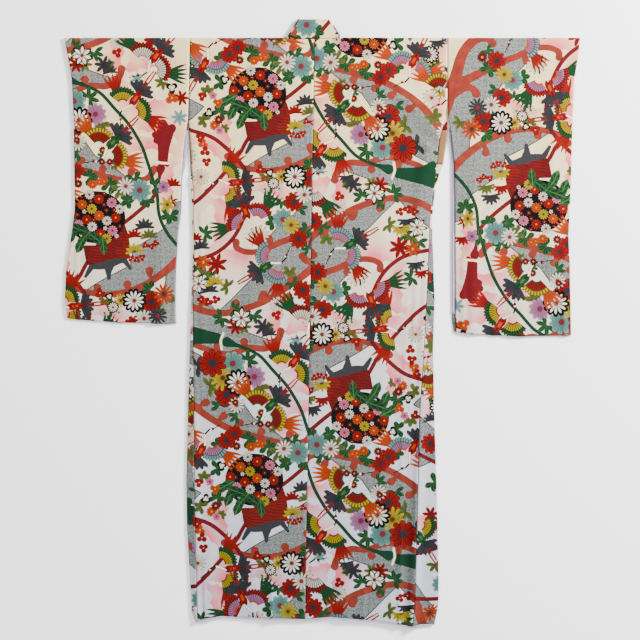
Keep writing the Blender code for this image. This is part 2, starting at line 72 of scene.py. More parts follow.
studio = {
    "height": 3.9,              # the camera stands straight above
    "middle": (-0.0055, 0.0061),
    "span": 1.568,              # what the picture's width takes in on the floor
    "floorSize": 9.0,
    "floorDrop": 0.0006,        # the floor lies just below the cloth
    "floorColour": (0.97, 0.97, 0.965),
    "floorRoughness": 0.8,
    "skyColour": (1.0, 0.99, 0.97),
    "skyStrength": 0.62,
    "lamps": (                  # place, aim, size, watts
        ((3.4, 2.2, 1.7), (0.0, 0.0, 0.0), 0.9, 930),
        ((-2.8, 0.8, 2.6), (-0.1, 0.0, 0.0), 2.4, 110),
        ((0.4, -2.8, 2.4), (0.0, -0.1, 0.0), 2.4, 70),
    ),
}


def stand(name, data):
    # a camera, lamp or mesh as an object of the scene
    thing = bpy.data.objects.new(name, data)
    scene.collection.objects.link(thing)
    return thing


def aimAt(thing, place, aim):
    # stands a lamp or camera at a place and turns its -Z axis to the aim
    away = np.array(place) - np.array(aim)
    flat = math.hypot(away[0], away[1])
    thing.location = place
    turn = math.atan2(away[0], -away[1]) if flat > 1e-9 else 0.0
    thing.rotation_euler = (math.atan2(flat, away[2]), 0.0, turn)


def setStudio():
    view = bpy.data.cameras.new("view")
    view.lens = view.sensor_width * studio["height"] / studio["span"]
    scene.camera = stand("view", view)
    scene.camera.location = (*studio["middle"], studio["height"])
    for number, (place, aim, size, watts) in enumerate(studio["lamps"]):
        lamp = bpy.data.lights.new(f"lamp_{number}", "AREA")
        lamp.size = size
        lamp.energy = watts
        aimAt(stand(f"lamp_{number}", lamp), place, aim)
    world = bpy.data.worlds.new("sky")
    world.use_nodes = True
    sky = world.node_tree.nodes["Background"]
    sky.inputs["Color"].default_value = (*studio["skyColour"], 1.0)
    sky.inputs["Strength"].default_value = studio["skyStrength"]
    scene.world = world
    half = studio["floorSize"] / 2
    corners = ((-half, -half), (half, -half), (half, half), (-half, half))
    mesh = bpy.data.meshes.new("floor")
    mesh.from_pydata([(*corner, -studio["floorDrop"]) for corner in corners], [], [(0, 1, 2, 3)])
    paint = bpy.data.materials.new("floor_paint")
    paint.use_nodes = True
    shader = paint.node_tree.nodes["Principled BSDF"]
    shader.inputs["Base Color"].default_value = (*studio["floorColour"], 1.0)
    shader.inputs["Roughness"].default_value = studio["floorRoughness"]
    mesh.materials.append(paint)
    stand("floor", mesh)


setStudio()
print("studio: camera, lamps and floor")


# The cloth's layers and edges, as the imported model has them

layers = {
    "cloth": 0.0015,            # walls
    "collarWall": 0.002,
    "liningWall": 0.001,
    "seamGap": 0.0003,
    "sideGap": 0.0008,
    "low": 0.00075,             # middles of the lower and upper layer
    "high": 0.00325,
    "crossStep": 0.0024,        # the right front over the left one
    "crossRight": (0.137, 0.162),
    "backStep": 0.0026,         # the backs over the crossed fronts
    "backRaised": (-0.200, -0.166, 0.142, 0.182),
    "collarHigh": 0.0078,
    "liningHigh": 0.0023,
    "shoulder": 0.697,
    "neckHalf": 0.0665,
    "neck": 0.6935,
    "seamOpen": 0.372,          # the side seam closes between these heights
    "seamClosed": 0.322,
    "weld": 2e-6,               # points this close are one
    "creased": 1.9,             # how much higher the creases stand than their table says
    "uneven": 0.0008,           # height of the low waves
}

# x of the seam down the middle of the back, by height
centreSeam = ((0.700, -0.0195), (-0.165, -0.0334), (-0.745, -0.0425))

# A body's edges by height: the garment's outline and the back's own edge
bodyEdges = {
    -1: (
        (0.700, -0.3245, -0.3245), (0.499, -0.3277, -0.3265), (0.423, -0.3252, -0.3200),
        (0.354, -0.3218, -0.3184), (0.300, -0.3195, -0.3163), (0.168, -0.3172, -0.3137),
        (0.055, -0.3210, -0.3172), (-0.170, -0.3278, -0.3142), (-0.381, -0.3326, -0.3125),
        (-0.494, -0.3310, -0.3108), (-0.597, -0.3250, -0.3083), (-0.699, -0.3191, -0.3060),
        (-0.732, -0.3070, -0.3030),
    ),
    1: (
        (0.700, 0.3064, 0.3064), (0.540, 0.3064, 0.3054), (0.499, 0.3064, 0.2995),
        (0.447, 0.3055, 0.2850), (0.388, 0.2958, 0.2800), (0.354, 0.2836, 0.2772),
        (0.325, 0.2762, 0.2725), (0.280, 0.2712, 0.2660), (0.230, 0.2692, 0.2620),
        (0.055, 0.2752, 0.2545), (-0.062, 0.2713, 0.2485), (-0.227, 0.2745, 0.2375),
        (-0.381, 0.2795, 0.2340), (-0.580, 0.2843, 0.2289), (-0.690, 0.2851, 0.2243),
        (-0.738, 0.2750, 0.2200),
    ),
}

# The hem's height from left to right
hemLine = (
    (-0.340, -0.7300), (-0.304, -0.7301), (-0.288, -0.7240), (-0.246, -0.7182), (-0.210, -0.7210),
    (-0.150, -0.7228), (-0.042, -0.7257), (0.021, -0.7200), (0.066, -0.7240), (0.130, -0.7300),
    (0.174, -0.7364), (0.220, -0.7436), (0.240, -0.7386), (0.300, -0.7370),
)

# A sleeve's edges by height: outer edge, inner edge, and the upper layer's inner edge
sleeveEdges = {
    -1: (
        (0.700, -0.6315, -0.3248, -0.3248), (0.653, -0.6229, -0.3255, -0.3255),
        (0.594, -0.6131, -0.3265, -0.3265), (0.499, -0.6085, -0.3280, -0.3292),
        (0.459, -0.6080, -0.3289, -0.3355), (0.423, -0.6075, -0.3301, -0.3400),
        (0.386, -0.6070, -0.3350, -0.3429), (0.359, -0.6066, -0.3424, -0.3455),
        (0.271, -0.6057, -0.3449, -0.3479), (0.222, -0.6118, -0.3520, -0.3546),
        (0.109, -0.6278, -0.3578, -0.3604), (0.043, -0.6303, -0.3583, -0.3610),
        (-0.010, -0.6230, -0.3559, -0.3586),
    ),
    1: (
        (0.700, 0.6315, 0.3067, 0.3067), (0.653, 0.6266, 0.3067, 0.3067),
        (0.594, 0.6168, 0.3067, 0.3067), (0.499, 0.6135, 0.3067, 0.3080),
        (0.459, 0.6120, 0.3105, 0.3150), (0.418, 0.6107, 0.3154, 0.3195),
        (0.386, 0.6100, 0.3171, 0.3228), (0.300, 0.6070, 0.3174, 0.3247),
        (0.212, 0.6030, 0.3174, 0.3255), (0.148, 0.6058, 0.3174, 0.3259),
        (-0.009, 0.6088, 0.3179, 0.3265), (-0.040, 0.6094, 0.3228, 0.3275),
    ),
}

# A sleeve's bottom from left to right
sleeveBottom = {
    -1: ((-0.640, 0.0110), (-0.569, 0.0050), (-0.496, 0.0000), (-0.340, -0.0025)),
    1: ((0.300, -0.0160), (0.326, -0.0230), (0.386, -0.0290), (0.455, -0.0330), (0.640, -0.0316)),
}

# Large soft folds of the upper layer: start, end, half width, height at start and end
largeFolds = (
    (0.262, 0.230, 0.2195, -0.760, 0.0130, 0.0010, 0.0085),     # right side seam
    (0.190, -0.430, 0.178, -0.760, 0.0200, 0.0000, 0.0040),     # beside it at the hem
    (-0.316, 0.050, -0.3045, -0.760, 0.0090, 0.0005, 0.0040),   # left side seam
    (-0.283, -0.360, -0.272, -0.760, 0.0160, 0.0000, 0.0045),   # beside it at the hem
    (-0.128, -0.500, -0.121, -0.760, 0.0150, 0.0000, 0.0035),   # left back at the hem
    (0.068, -0.420, 0.052, -0.760, 0.0240, 0.0000, 0.0030),     # right back at the hem
    (0.125, 0.640, 0.285, 0.460, 0.0200, 0.0005, 0.0040),       # right shoulder
    (-0.180, 0.620, -0.308, 0.450, 0.0180, 0.0005, 0.0030),     # left shoulder
    (0.258, 0.420, 0.205, 0.060, 0.0180, 0.0040, 0.0000),       # below the right opening
    (-0.300, 0.400, -0.262, 0.060, 0.0160, 0.0030, 0.0000),     # below the left opening
    (-0.392, 0.330, -0.405, -0.020, 0.0180, 0.0005, 0.0040),    # left sleeve, body side
    (-0.560, 0.560, -0.568, 0.180, 0.0200, 0.0005, 0.0035),     # left sleeve, outer side
    (0.372, 0.420, 0.366, -0.060, 0.0180, 0.0005, 0.0040),      # right sleeve, body side
    (0.572, 0.560, 0.560, 0.160, 0.0200, 0.0005, 0.0035),       # right sleeve, outer side
    (0.470, 0.180, 0.480, -0.060, 0.0240, 0.0000, 0.0030),      # right sleeve, bottom
)

# Small creases on top of them, in the same order of values
smallCreases = (
    (0.150, 0.560, 0.300, 0.520, 0.0060, 0.0004, 0.0012),       # drag lines at the right armhole
    (0.170, 0.600, 0.302, 0.580, 0.0050, 0.0002, 0.0009),
    (0.120, 0.500, 0.262, 0.430, 0.0070, 0.0003, 0.0010),
    (-0.170, 0.560, -0.318, 0.520, 0.0060, 0.0003, 0.0010),     # and at the left one
    (-0.160, 0.500, -0.300, 0.420, 0.0070, 0.0002, 0.0009),
    (0.030, 0.655, 0.110, 0.600, 0.0070, 0.0006, 0.0002),       # under the collar
    (-0.060, 0.655, -0.130, 0.600, 0.0070, 0.0006, 0.0002),
    (-0.123, -0.560, -0.1225, -0.745, 0.0040, 0.0004, 0.0016),  # pressed edge on the left back
    (-0.292, -0.560, -0.284, -0.745, 0.0045, 0.0004, 0.0014),
    (0.196, -0.300, 0.188, -0.745, 0.0050, 0.0003, 0.0014),
    (0.110, -0.560, 0.096, -0.745, 0.0060, 0.0002, 0.0010),
    (0.236, 0.180, 0.214, -0.200, 0.0060, 0.0008, 0.0006),
    (0.208, 0.060, 0.196, -0.300, 0.0060, 0.0003, 0.0006),
    (-0.296, 0.260, -0.291, -0.200, 0.0060, 0.0008, 0.0003),
    (-0.410, 0.660, -0.450, 0.520, 0.0080, 0.0005, 0.0002),     # left sleeve
    (-0.580, 0.640, -0.590, 0.470, 0.0060, 0.0008, 0.0004),
    (-0.600, 0.200, -0.598, 0.010, 0.0060, 0.0004, 0.0010),
    (-0.520, 0.120, -0.500, -0.002, 0.0080, 0.0001, 0.0010),
    (-0.372, 0.200, -0.384, 0.000, 0.0060, 0.0003, 0.0010),
    (0.400, 0.650, 0.430, 0.500, 0.0080, 0.0005, 0.0002),       # right sleeve
    (0.585, 0.640, 0.596, 0.470, 0.0060, 0.0008, 0.0004),
    (0.590, 0.180, 0.592, -0.030, 0.0060, 0.0004, 0.0010),
    (0.424, 0.160, 0.420, -0.030, 0.0080, 0.0001, 0.0010),
    (0.345, 0.240, 0.344, -0.020, 0.0060, 0.0003, 0.0010),
)


# Low waves of the whole cloth: share of the height, then the turns of two crossing waves by x, y and start
lowWaves = (
    (0.34, 31, 7, 1.3, -5, 19, 0.4),
    (0.30, 53, -22, 2.1, 13, 41, 5.0),
    (0.20, 97, 61, 0.7, -47, 83, 3.3),
    (0.22, 181, 97, 2.7, -89, 157, 1.1),
)


def readEdge(table, at, value=1):
    # straight stretches between a table's rows, read at whole arrays
    rows = sorted(table)
    return np.interp(at, [row[0] for row in rows], [row[value] for row in rows])


def ease(value, start, end):
    # 0 before start and 1 after end, along 3t^2 - 2t^3 between them
    share = np.clip((value - start) / (end - start), 0.0, 1.0)
    return share * share * (3 - 2 * share)


def blend(start, end, share):
    # start plus a share of the way to end
    return start + (end - start) * share


def ridges(table, x, y):
    # sum of soft ridges: height * exp(-(distance / half width)^2), dying away past both ends
    total = np.zeros(np.broadcast(x, y).shape)
    for startX, startY, endX, endY, half, startHeight, endHeight in table:
        runX, runY = endX - startX, endY - startY
        length = math.hypot(runX, runY)
        share = ((x - startX) * runX + (y - startY) * runY) / length**2
        off = ((x - startX) * runY - (y - startY) * runX) / length
        past = np.maximum(0.0, np.maximum(-share, share - 1)) * length / (2 * half)
        height = blend(startHeight, endHeight, np.clip(share, 0.0, 1.0))
        total += height * np.exp(-((off / half) ** 2) - past**2)
    return total


def unevenness(x, y):
    # sum of crossing waves, share * sin(a x + b y + c) * sin(d x + e y + f), as smoothed out cloth has
    total = 0.5
    for share, a, b, c, d, e, f in lowWaves:
        total = total + share * np.sin(a * x + b * y + c) * np.sin(d * x + e * y + f)
    return layers["uneven"] * total


def backRaise(x):
    # 1 where the crossed fronts lie below, 0 beside them
    leftStart, leftEnd, rightStart, rightEnd = layers["backRaised"]
    return ease(x, leftStart, leftEnd) * (1 - ease(x, rightStart, rightEnd))


def topHeight(x, y, fine=1.0):
    # middle of the upper layer: its base, the step over the fronts, and its folds and creases
    base = layers["high"] + layers["backStep"] * backRaise(x) + ridges(largeFolds, x, y)
    return base + fine * (layers["creased"] * ridges(smallCreases, x, y) + unevenness(x, y))


def frontHeight(side, x):
    # middle of a front: the left one lies flat, the right one climbs over it
    if side < 0:
        return layers["low"] + 0.0 * x
    return layers["low"] + layers["crossStep"] * (1 - ease(x, *layers["crossRight"]))


def centreX(y):
    # x of the centre seam
    return readEdge(centreSeam, y)


def neckX(side):
    # x of the neck opening's end on one side
    return float(centreX(layers["shoulder"])) + side * layers["neckHalf"]


def hemY(x):
    # y of the hem
    return readEdge(hemLine, x)


def panelLow(side):
    # y of the hem below the middle of a front, which the rows of all panels on that side run down to
    return hemY(side * frontPanel["width"])


def foldRadius(side, x, y):
    # half of the height between the back and the front
    return (topHeight(x, y, 0.0) - frontHeight(side, x)) / 2


def shoulderTop(side, x):
    # where the back starts to turn over the shoulder
    return layers["shoulder"] - layers["cloth"] / 2 - foldRadius(side, x, layers["shoulder"])


# The print: what is drawn on the bolt, in centimetres from the middle of the flower mound
# u runs across the bolt and v along it. Every motif is of a traditional kind and drawn for this garment.

printDrawing = {
    "repeat": 94.5,             # along the bolt
    "centimetre": 0.01,
    "smooth": 7,                # points between two given points of a stroke
    "layers": 5,                # flowers, leaves and feathers may lie this deep
    "room": 1.6,                # depths are worked out this far from an edge
    "reach": (72, 0.04),        # half a square's diagonal for each metre of its size, and some more
    "turns": (20, 67),          # turn of the first flower of a row, and from one to the next, in degrees
    "budTurn": 96,
    "ebony": (1.08, 0.9),       # an ebony flower's black ground, and the flower on it
    "tasselRing": 0.36,
}

# Strokes: points with half widths. Mist bands with their hooked ends
mistStrokes = (
    ((26.5, -3, 1), (20.5, -10, 0.8), (16.7, -13.6, 0.7), (12.5, -16.4, 0.6), (8, -18.3, 0.6),
     (3, -19.1, 0.55), (-2, -18.6, 0.5), (-5.3, -17.4, 0.5), (-7.2, -15.6, 0.7)),
    ((24.5, -20, 1.3), (22.2, -26.4, 1.3), (20.4, -32, 1.2), (18.2, -38.4, 1), (12.9, -43.7, 0.75),
     (7.5, -47.6, 0.65), (3, -50.6, 0.6), (-2.5, -52.8, 0.6), (-8.9, -54, 0.6), (-15.6, -52.3, 0.6),
     (-21, -48, 0.7), (-26, -41, 0.8)),
    ((18, -38.6, 0.9), (15.4, -40.8, 0.7), (12.6, -41.2, 0.6), (11.4, -40, 0.8)),
    ((20.6, -30.6, 1), (18, -31, 0.9), (13, -33.5, 0.7), (9, -35.5, 0.6), (5.5, -36.8, 0.55),
     (1.7, -38.6, 0.5), (-2, -39, 0.5), (-4.7, -38, 0.5), (-4.9, -36.6, 0.7)),
    ((22.6, -26.4, 1), (18.6, -29, 0.7), (16.2, -28.9, 0.6), (15.4, -27.7, 0.85)),
    ((6.2, -58.4, 0.75), (5.6, -60.4, 0.5), (2.6, -62.6, 0.55), (-1.3, -62.4, 0.5), (-3.8, -63.2, 0.5),
     (-7.2, -64, 0.5), (-10.7, -63.2, 0.5), (-15.2, -61.4, 0.5), (-20, -57.4, 0.6), (-26, -50.5, 0.8)),
    ((-27, -62, 0.9), (-20, -70.6, 0.8), (-15.3, -76.2, 0.7), (-10.7, -79.8, 0.6), (-6, -82.3, 0.6),
     (-1.3, -83.7, 0.55), (3.3, -85, 0.55), (8, -85.8, 0.5), (12.3, -85.2, 0.5), (14.2, -82.9, 0.75)),
)
# Hooks on the bands: root, bend and tip of each, and the half widths that all of them have
mistHooks = (
    ((14.6, -15.2), (13.2, -14.6), (13, -13.3)),
    ((9.4, -18), (8, -17.6), (7.6, -16.6)),
    ((1.8, -19), (0.6, -18.4), (0.3, -17.5)),
    ((8.2, -47.2), (8, -45.8), (8.8, -44.9)),
    ((1.4, -51.4), (1, -50.2), (1.9, -49.3)),
    ((-5.4, -53.6), (-5.8, -52.4), (-4.9, -51.5)),
    ((-13.2, -53.2), (-13.6, -51.9), (-12.6, -51.1)),
    ((5, -37), (3.6, -36.8), (3.1, -35.8)),
    ((11.6, -34.3), (10.2, -34.1), (9.8, -33)),
    ((-1.4, -62.5), (-2.6, -62.2), (-2.8, -61)),
    ((-8, -64), (-9.2, -63.4), (-9.3, -62.2)),
    ((-8.4, -81.2), (-8.6, -79.9), (-7.6, -79.1)),
    ((-4.6, -82.9), (-4.6, -81.5), (-3.7, -80.8)),
    ((0, -84.2), (1, -83.9), (1.6, -82.9)),
    ((6.6, -85.6), (8, -84.9), (8.6, -83.5)),
    ((-13.4, -77.8), (-13.2, -76.4), (-12, -75.8)),
)
hookHalves = (0.35, 0.2, 0.78)

# Outlines of the finely dotted mist beside the bands
mistFields = (
    ((-3, -18.4), (2, -19.2), (8, -18.4), (12.5, -16.4), (16.7, -13.6), (21, -9.8), (27, -3), (27, 5),
     (19.5, 3.5), (18.5, 1), (16.5, -3), (13, -5.5), (9, -8), (8.3, -12), (3, -14.7), (0, -16.4)),
    ((-9.6, -54), (-5.6, -50.2), (-2.8, -47.3), (-0.2, -44.8), (1.6, -41.5), (3.2, -38), (9, -35.6),
     (13, -33.6), (18.3, -31), (20, -34), (18, -38.8), (12.9, -43.8), (7.5, -47.7), (3, -50.7),
     (-2.5, -52.9)),
    ((1.7, -38.4), (2.4, -35.9), (4.8, -33.4), (9, -30), (12, -26), (15.5, -20), (17, -16), (17, -13.8),
     (21, -10.5), (27, -6), (27, -20), (22.4, -25.5), (19.6, -30.5), (13, -33.4), (9, -35.4), (5.5, -36.7)),
    ((6.2, -59.4), (3.6, -60.6), (-1.6, -58.8), (-5, -57.6), (-8.6, -56.6), (-9.4, -54.4), (-15.6, -52.4),
     (-21, -48.2), (-28, -40), (-28, -48), (-26, -50.6), (-20, -57.4), (-15.2, -61.4), (-10.7, -63.2),
     (-7, -63.9), (-3, -63), (2, -62.7)),
    ((8, -85.4), (4.5, -82.6), (-0.3, -79.6), (-2.4, -76.6), (-5.6, -74.6), (-7.6, -70.6), (-9.6, -66.6),
     (-13.6, -64.2), (-19, -61.4), (-28, -54), (-28, -62), (-20, -70.6), (-15.3, -76.2), (-10.7, -79.8),
     (-6, -82.3), (-1.3, -83.7), (3.3, -85)),
    ((-8.9, -54.2), (-12.4, -50.4), (-17, -46.6), (-22, -42), (-28, -33), (-28, -40), (-21, -48),
     (-15.6, -52.4)),
    ((-28, 10), (-22, 3.4), (-17.5, -1), (-13, -3.4), (-16, -6.4), (-22, -9), (-28, -10)),
)

# Crimson and green cords with their tassels, the tub and its feet
crimsonStrokes = (
    ((-28, -3, 0.5), (-21, -7, 0.5), (-16.5, -9.1, 0.5), (-10.7, -11.1, 0.5), (-5.8, -15.2, 0.5),
     (-3.2, -18.4, 0.5), (-1.8, -22.4, 0.5), (-2, -26.5, 0.5), (-3.4, -31.4, 0.5), (-6, -36, 0.5),
     (-10.2, -39.4, 0.5), (-15.6, -41, 0.5), (-22, -41.6, 0.5), (-28, -41, 0.5)),
    ((-28, -31, 0.5), (-21, -29.6, 0.5), (-15.6, -27.2, 0.5), (-10.7, -22.8, 0.5), (-4.8, -15.7, 0.5),
     (-2.4, -11.6, 0.5), (2, -5, 0.5), (7, -1.4, 0.5), (10.5, 1.4, 0.5), (13.7, 4.4, 0.5),
     (15, 7.4, 0.45), (15.5, 9.9, 0.45), (15.8, 11.8, 1.1)),
    ((16.3, 13.8, 1.25), (16.5, 17, 1.45), (16.8, 20.4, 2.1)),
    ((16.9, 20.6, 1.5), (16.2, 22.6, 1.2)),
    ((17.2, 20.2, 1.4), (18.5, 21.6, 1.05)),
    ((16.2, 20, 1.4), (14.4, 20, 0.85)),
    ((15.8, 18.6, 1.2), (14.6, 18.6, 0.7)),
)
greenStrokes = (
    ((-7, -61, 1.25), (-5, -61.7, 0.6), (-2.6, -62.5, 0.42), (1.1, -64.4, 0.42), (4.5, -68.1, 0.42),
     (8, -72, 0.42), (11, -77, 0.42), (12.6, -81.4, 0.42), (13.9, -85.6, 0.42), (14.9, -89.2, 0.42),
     (15.3, -93.6, 0.42), (16.7, -97.4, 0.42), (19.7, -101.4, 0.42), (27, -108, 0.42)),
    ((-9.4, -60.1, 1.3), (-12.6, -59.7, 1.7), (-15.6, -59.4, 2.2)),
    ((-15.6, -58.6, 1.4), (-18, -57.4, 1.1)),
    ((-15.8, -59.6, 1.4), (-18.8, -59.8, 1.2)),
    ((-15.6, -60.4, 1.4), (-17.8, -62, 1)),
)
# White rings between a tassel's knot and its threads
tasselRings = (
    ((14.7, 13.4), (15.9, 13.1), (17.3, 13)),
    ((-8.3, -62.3), (-8.5, -60.8), (-8, -59.2)),
)
charcoalStrokes = (
    ((7.1, -10.6, 0.45), (5, -11.1, 0.8), (3.1, -11.7, 1), (0.8, -12.2, 0.8), (-1.4, -12.4, 0.5)),
    ((7, -10.9, 0.7), (8.4, -12.8, 0.35)),
    ((3.1, -12.2, 1.2), (3, -13.6, 0.75), (3.1, -15.2, 0.4)),
    ((-1.4, -12.7, 0.7), (-2.6, -14.7, 0.4)),
)
tubOutline = (
    (-3.2, -7.1), (1.2, -7), (4.5, -4.4), (6, -1.6), (7, -2), (7.8, -4.2), (8.2, -6.6), (8.1, -10.3),
    (3, -11.4), (-1.7, -12.3), (-2.6, -10.4),
)

# Shift and size of the three puffs of a cloud, and how far its pink goes ahead and aside, in radii
puffs = ((-1.35, 0.7), (0.0, 1.0), (1.4, 0.8))
pinkReach = (1.5, 2.6)
pinkFrom = (-0.3, 0.5)
# Rows of three cream puffs with pink beyond their edge: middle, radius, and the way the pink lies in degrees
pinkClouds = (
    (-3.5, -37, 2.2, -90), (-12.2, -32.5, 2.6, 0), (-7, -24.4, 2.2, -90), (8.4, -56.5, 2.4, 180),
    (-4.8, -9.5, 2.4, 180), (-4.4, -25.5, 2.6, 180), (13.5, 14, 2.6, 90), (12, 30.5, 2.6, -90),
    (4.5, 14.6, 2, -90), (6, 33.8, 2.4, 90), (3.2, -26.6, 2, 70), (14.5, -60.2, 2.4, 90),
    (-15, 3.4, 2.4, 110), (20.5, 8, 2.4, 180), (-19.6, -20, 2.6, -100), (-16, 14, 2.6, 180),
    (14.6, -76, 2.6, 80), (6.4, -71, 2.2, -110), (-12.6, -15.6, 2, 60),
)

# Shapes round a middle, by number: how many petals, radius between them, how round, and open angle / pi
shapeKinds = {
    "mum": (10, 0.74, 2.4, 1),
    "pompon": (12, 0.54, 2.8, 1),
    "daisy": (12, 0.34, 2.1, 1),
    "plum": (5, 0.66, 2.2, 1),
    "lobed": (6, 0.6, 1.7, 0.834),
    "star": (7, 0.4, 1.25, 1),
    "maple": (7, 0.44, 1.35, 0.715),
    "sprig": (5, 0.12, 0.62, 0.56),
    "leaf": (2, 0.36, 0.55, 1),
    "disk": (1, 1, 1, 1),
    "wing": (34, 0.9, 2.2, 0.28),
    "feathers": (34, 0.62, 0.9, 0.14),
    "scallops": (17, 0.8, 1.4, 0.4),
    "trefoil": (3, 0.42, 2.2, 1),
    "bud": (12, 0.64, 1.3, 0.54),
    "halo": (12, 0.8, 2.8, 1),
}

# Colourings: petal, heart, tip and line colours; heart radius, start of the tip, lines between the
# petals and along their middles, outline. A wing's heart is left open
colourings = {
    "white": ((230, 225, 216), (166, 52, 62), (234, 229, 220), (88, 66, 66), 0.25, 0.9, 0.3, 0.03, 0.11),
    "edged": ((230, 222, 206), (166, 52, 62), (230, 222, 206), (56, 50, 48), 0.24, 0.9, 0.18, 0.03, 0.095),
    "red": ((196, 40, 28), (230, 184, 70), (206, 62, 36), (92, 14, 16), 0.2, 0.8, 0.18, 0.03, 0.05),
    "redGrey": ((194, 38, 30), (62, 64, 74), (204, 56, 38), (76, 12, 14), 0.28, 0.86, 0.24, 0.06, 0.06),
    "orange": ((216, 106, 8), (232, 184, 40), (222, 122, 20), (150, 50, 10), 0.2, 0.82, 0.16, 0.03, 0.04),
    "orangeGrey": ((214, 102, 8), (66, 68, 76), (220, 118, 20), (130, 44, 10), 0.24, 0.82, 0.22, 0.05, 0.05),
    "pink": ((218, 150, 172), (168, 54, 84), (232, 180, 192), (150, 74, 104), 0.24, 0.84, 0.16, 0.03, 0.04),
    "yellow": ((208, 192, 20), (140, 52, 36), (216, 202, 50), (124, 96, 20), 0.24, 0.84, 0.18, 0.03, 0.045),
    "teal": ((136, 176, 168), (164, 60, 74), (160, 196, 186), (74, 116, 112), 0.26, 0.86, 0.16, 0.04, 0.04),
    "lilac": ((194, 146, 176), (164, 56, 84), (208, 170, 194), (130, 80, 114), 0.26, 0.86, 0.16, 0.04, 0.04),
    "ebony": ((232, 228, 220), (164, 56, 62), (232, 228, 220), (18, 16, 20), 0.24, 0.84, 0.34, 0, 0.07),
    "maroon": ((140, 32, 38), (222, 172, 90), (164, 42, 48), (80, 14, 22), 0.26, 0.8, 0.16, 0.04, 0.03),
    "green": ((22, 98, 48), (16, 80, 40), (38, 116, 56), (112, 160, 96), 0.06, 0.84, 0.1, 0.035, 0),
    "darkGreen": ((16, 80, 42), (14, 70, 38), (28, 100, 52), (96, 146, 84), 0.06, 0.86, 0.1, 0.035, 0),
    "olive": ((130, 138, 60), (112, 122, 52), (158, 164, 88), (80, 92, 38), 0.08, 0.86, 0.06, 0.05, 0.04),
    "grey": ((82, 84, 88), (66, 68, 74), (94, 96, 100), (30, 30, 34), 0.1, 0.88, 0.18, 0.05, 0.07),
    "smoke": ((78, 81, 88), (168, 52, 64), (88, 90, 98), (26, 26, 32), 0.28, 0.88, 0.2, 0.045, 0.07),
    "redLeaf": ((186, 32, 30), (164, 28, 30), (200, 52, 40), (112, 16, 20), 0.08, 0.9, 0.1, 0.06, 0.03),
    "pale": ((162, 190, 186), (154, 182, 178), (180, 202, 198), (104, 140, 136), 0.08, 0.88, 0, 0.06, 0.04),
    "mound": ((12, 9, 13), (12, 9, 13), (12, 9, 13), (12, 9, 13), 0.05, 0.96, 0, 0, 0.02),
    "wingYellow": ((182, 30, 24), (22, 102, 56), (206, 190, 22), (50, 24, 16), 0.29, 0.74, 0.34, 0, 0.045),
    "wingGreen": ((206, 190, 22), (190, 38, 26), (30, 110, 54), (30, 40, 20), 0.29, 0.73, 0.34, 0, 0.045),
    "wingLilac": ((200, 150, 178), (214, 104, 10), (184, 34, 28), (84, 18, 24), 0.29, 0.73, 0.34, 0, 0.045),
    "wingTeal": ((200, 152, 178), (214, 98, 10), (144, 182, 174), (64, 50, 70), 0.29, 0.72, 0.32, 0, 0.045),
    "wingWhite": ((228, 222, 212), (204, 142, 168), (184, 34, 28), (22, 18, 22), 0.29, 0.74, 0.48, 0, 0.045),
    "plumeRed": ((194, 42, 30), (184, 34, 28), (204, 62, 38), (96, 16, 18), 0.3, 0.8, 0.2, 0, 0.04),
    "plumeOrange": ((214, 104, 8), (202, 84, 10), (220, 118, 20), (140, 46, 10), 0.3, 0.8, 0.2, 0, 0.04),
    "plumeGreen": ((32, 110, 54), (134, 156, 78), (24, 94, 48), (14, 58, 36), 0.36, 0.76, 0.2, 0, 0.04),
    "body": ((192, 40, 28), (218, 108, 10), (196, 46, 30), (90, 16, 16), 0.36, 0.8, 0, 0.05, 0.06),
    "bodyGreen": ((34, 114, 56), (112, 144, 64), (34, 114, 56), (14, 56, 32), 0.3, 0.8, 0, 0.05, 0.06),
    "ring": ((24, 22, 26), (226, 220, 208), (24, 22, 26), (24, 22, 26), 0.52, 0.96, 0.06, 0, 0.02),
    "berry": ((188, 34, 28), (230, 196, 176), (188, 34, 28), (96, 16, 16), 0.16, 0.96, 0.06, 0, 0.06),
}

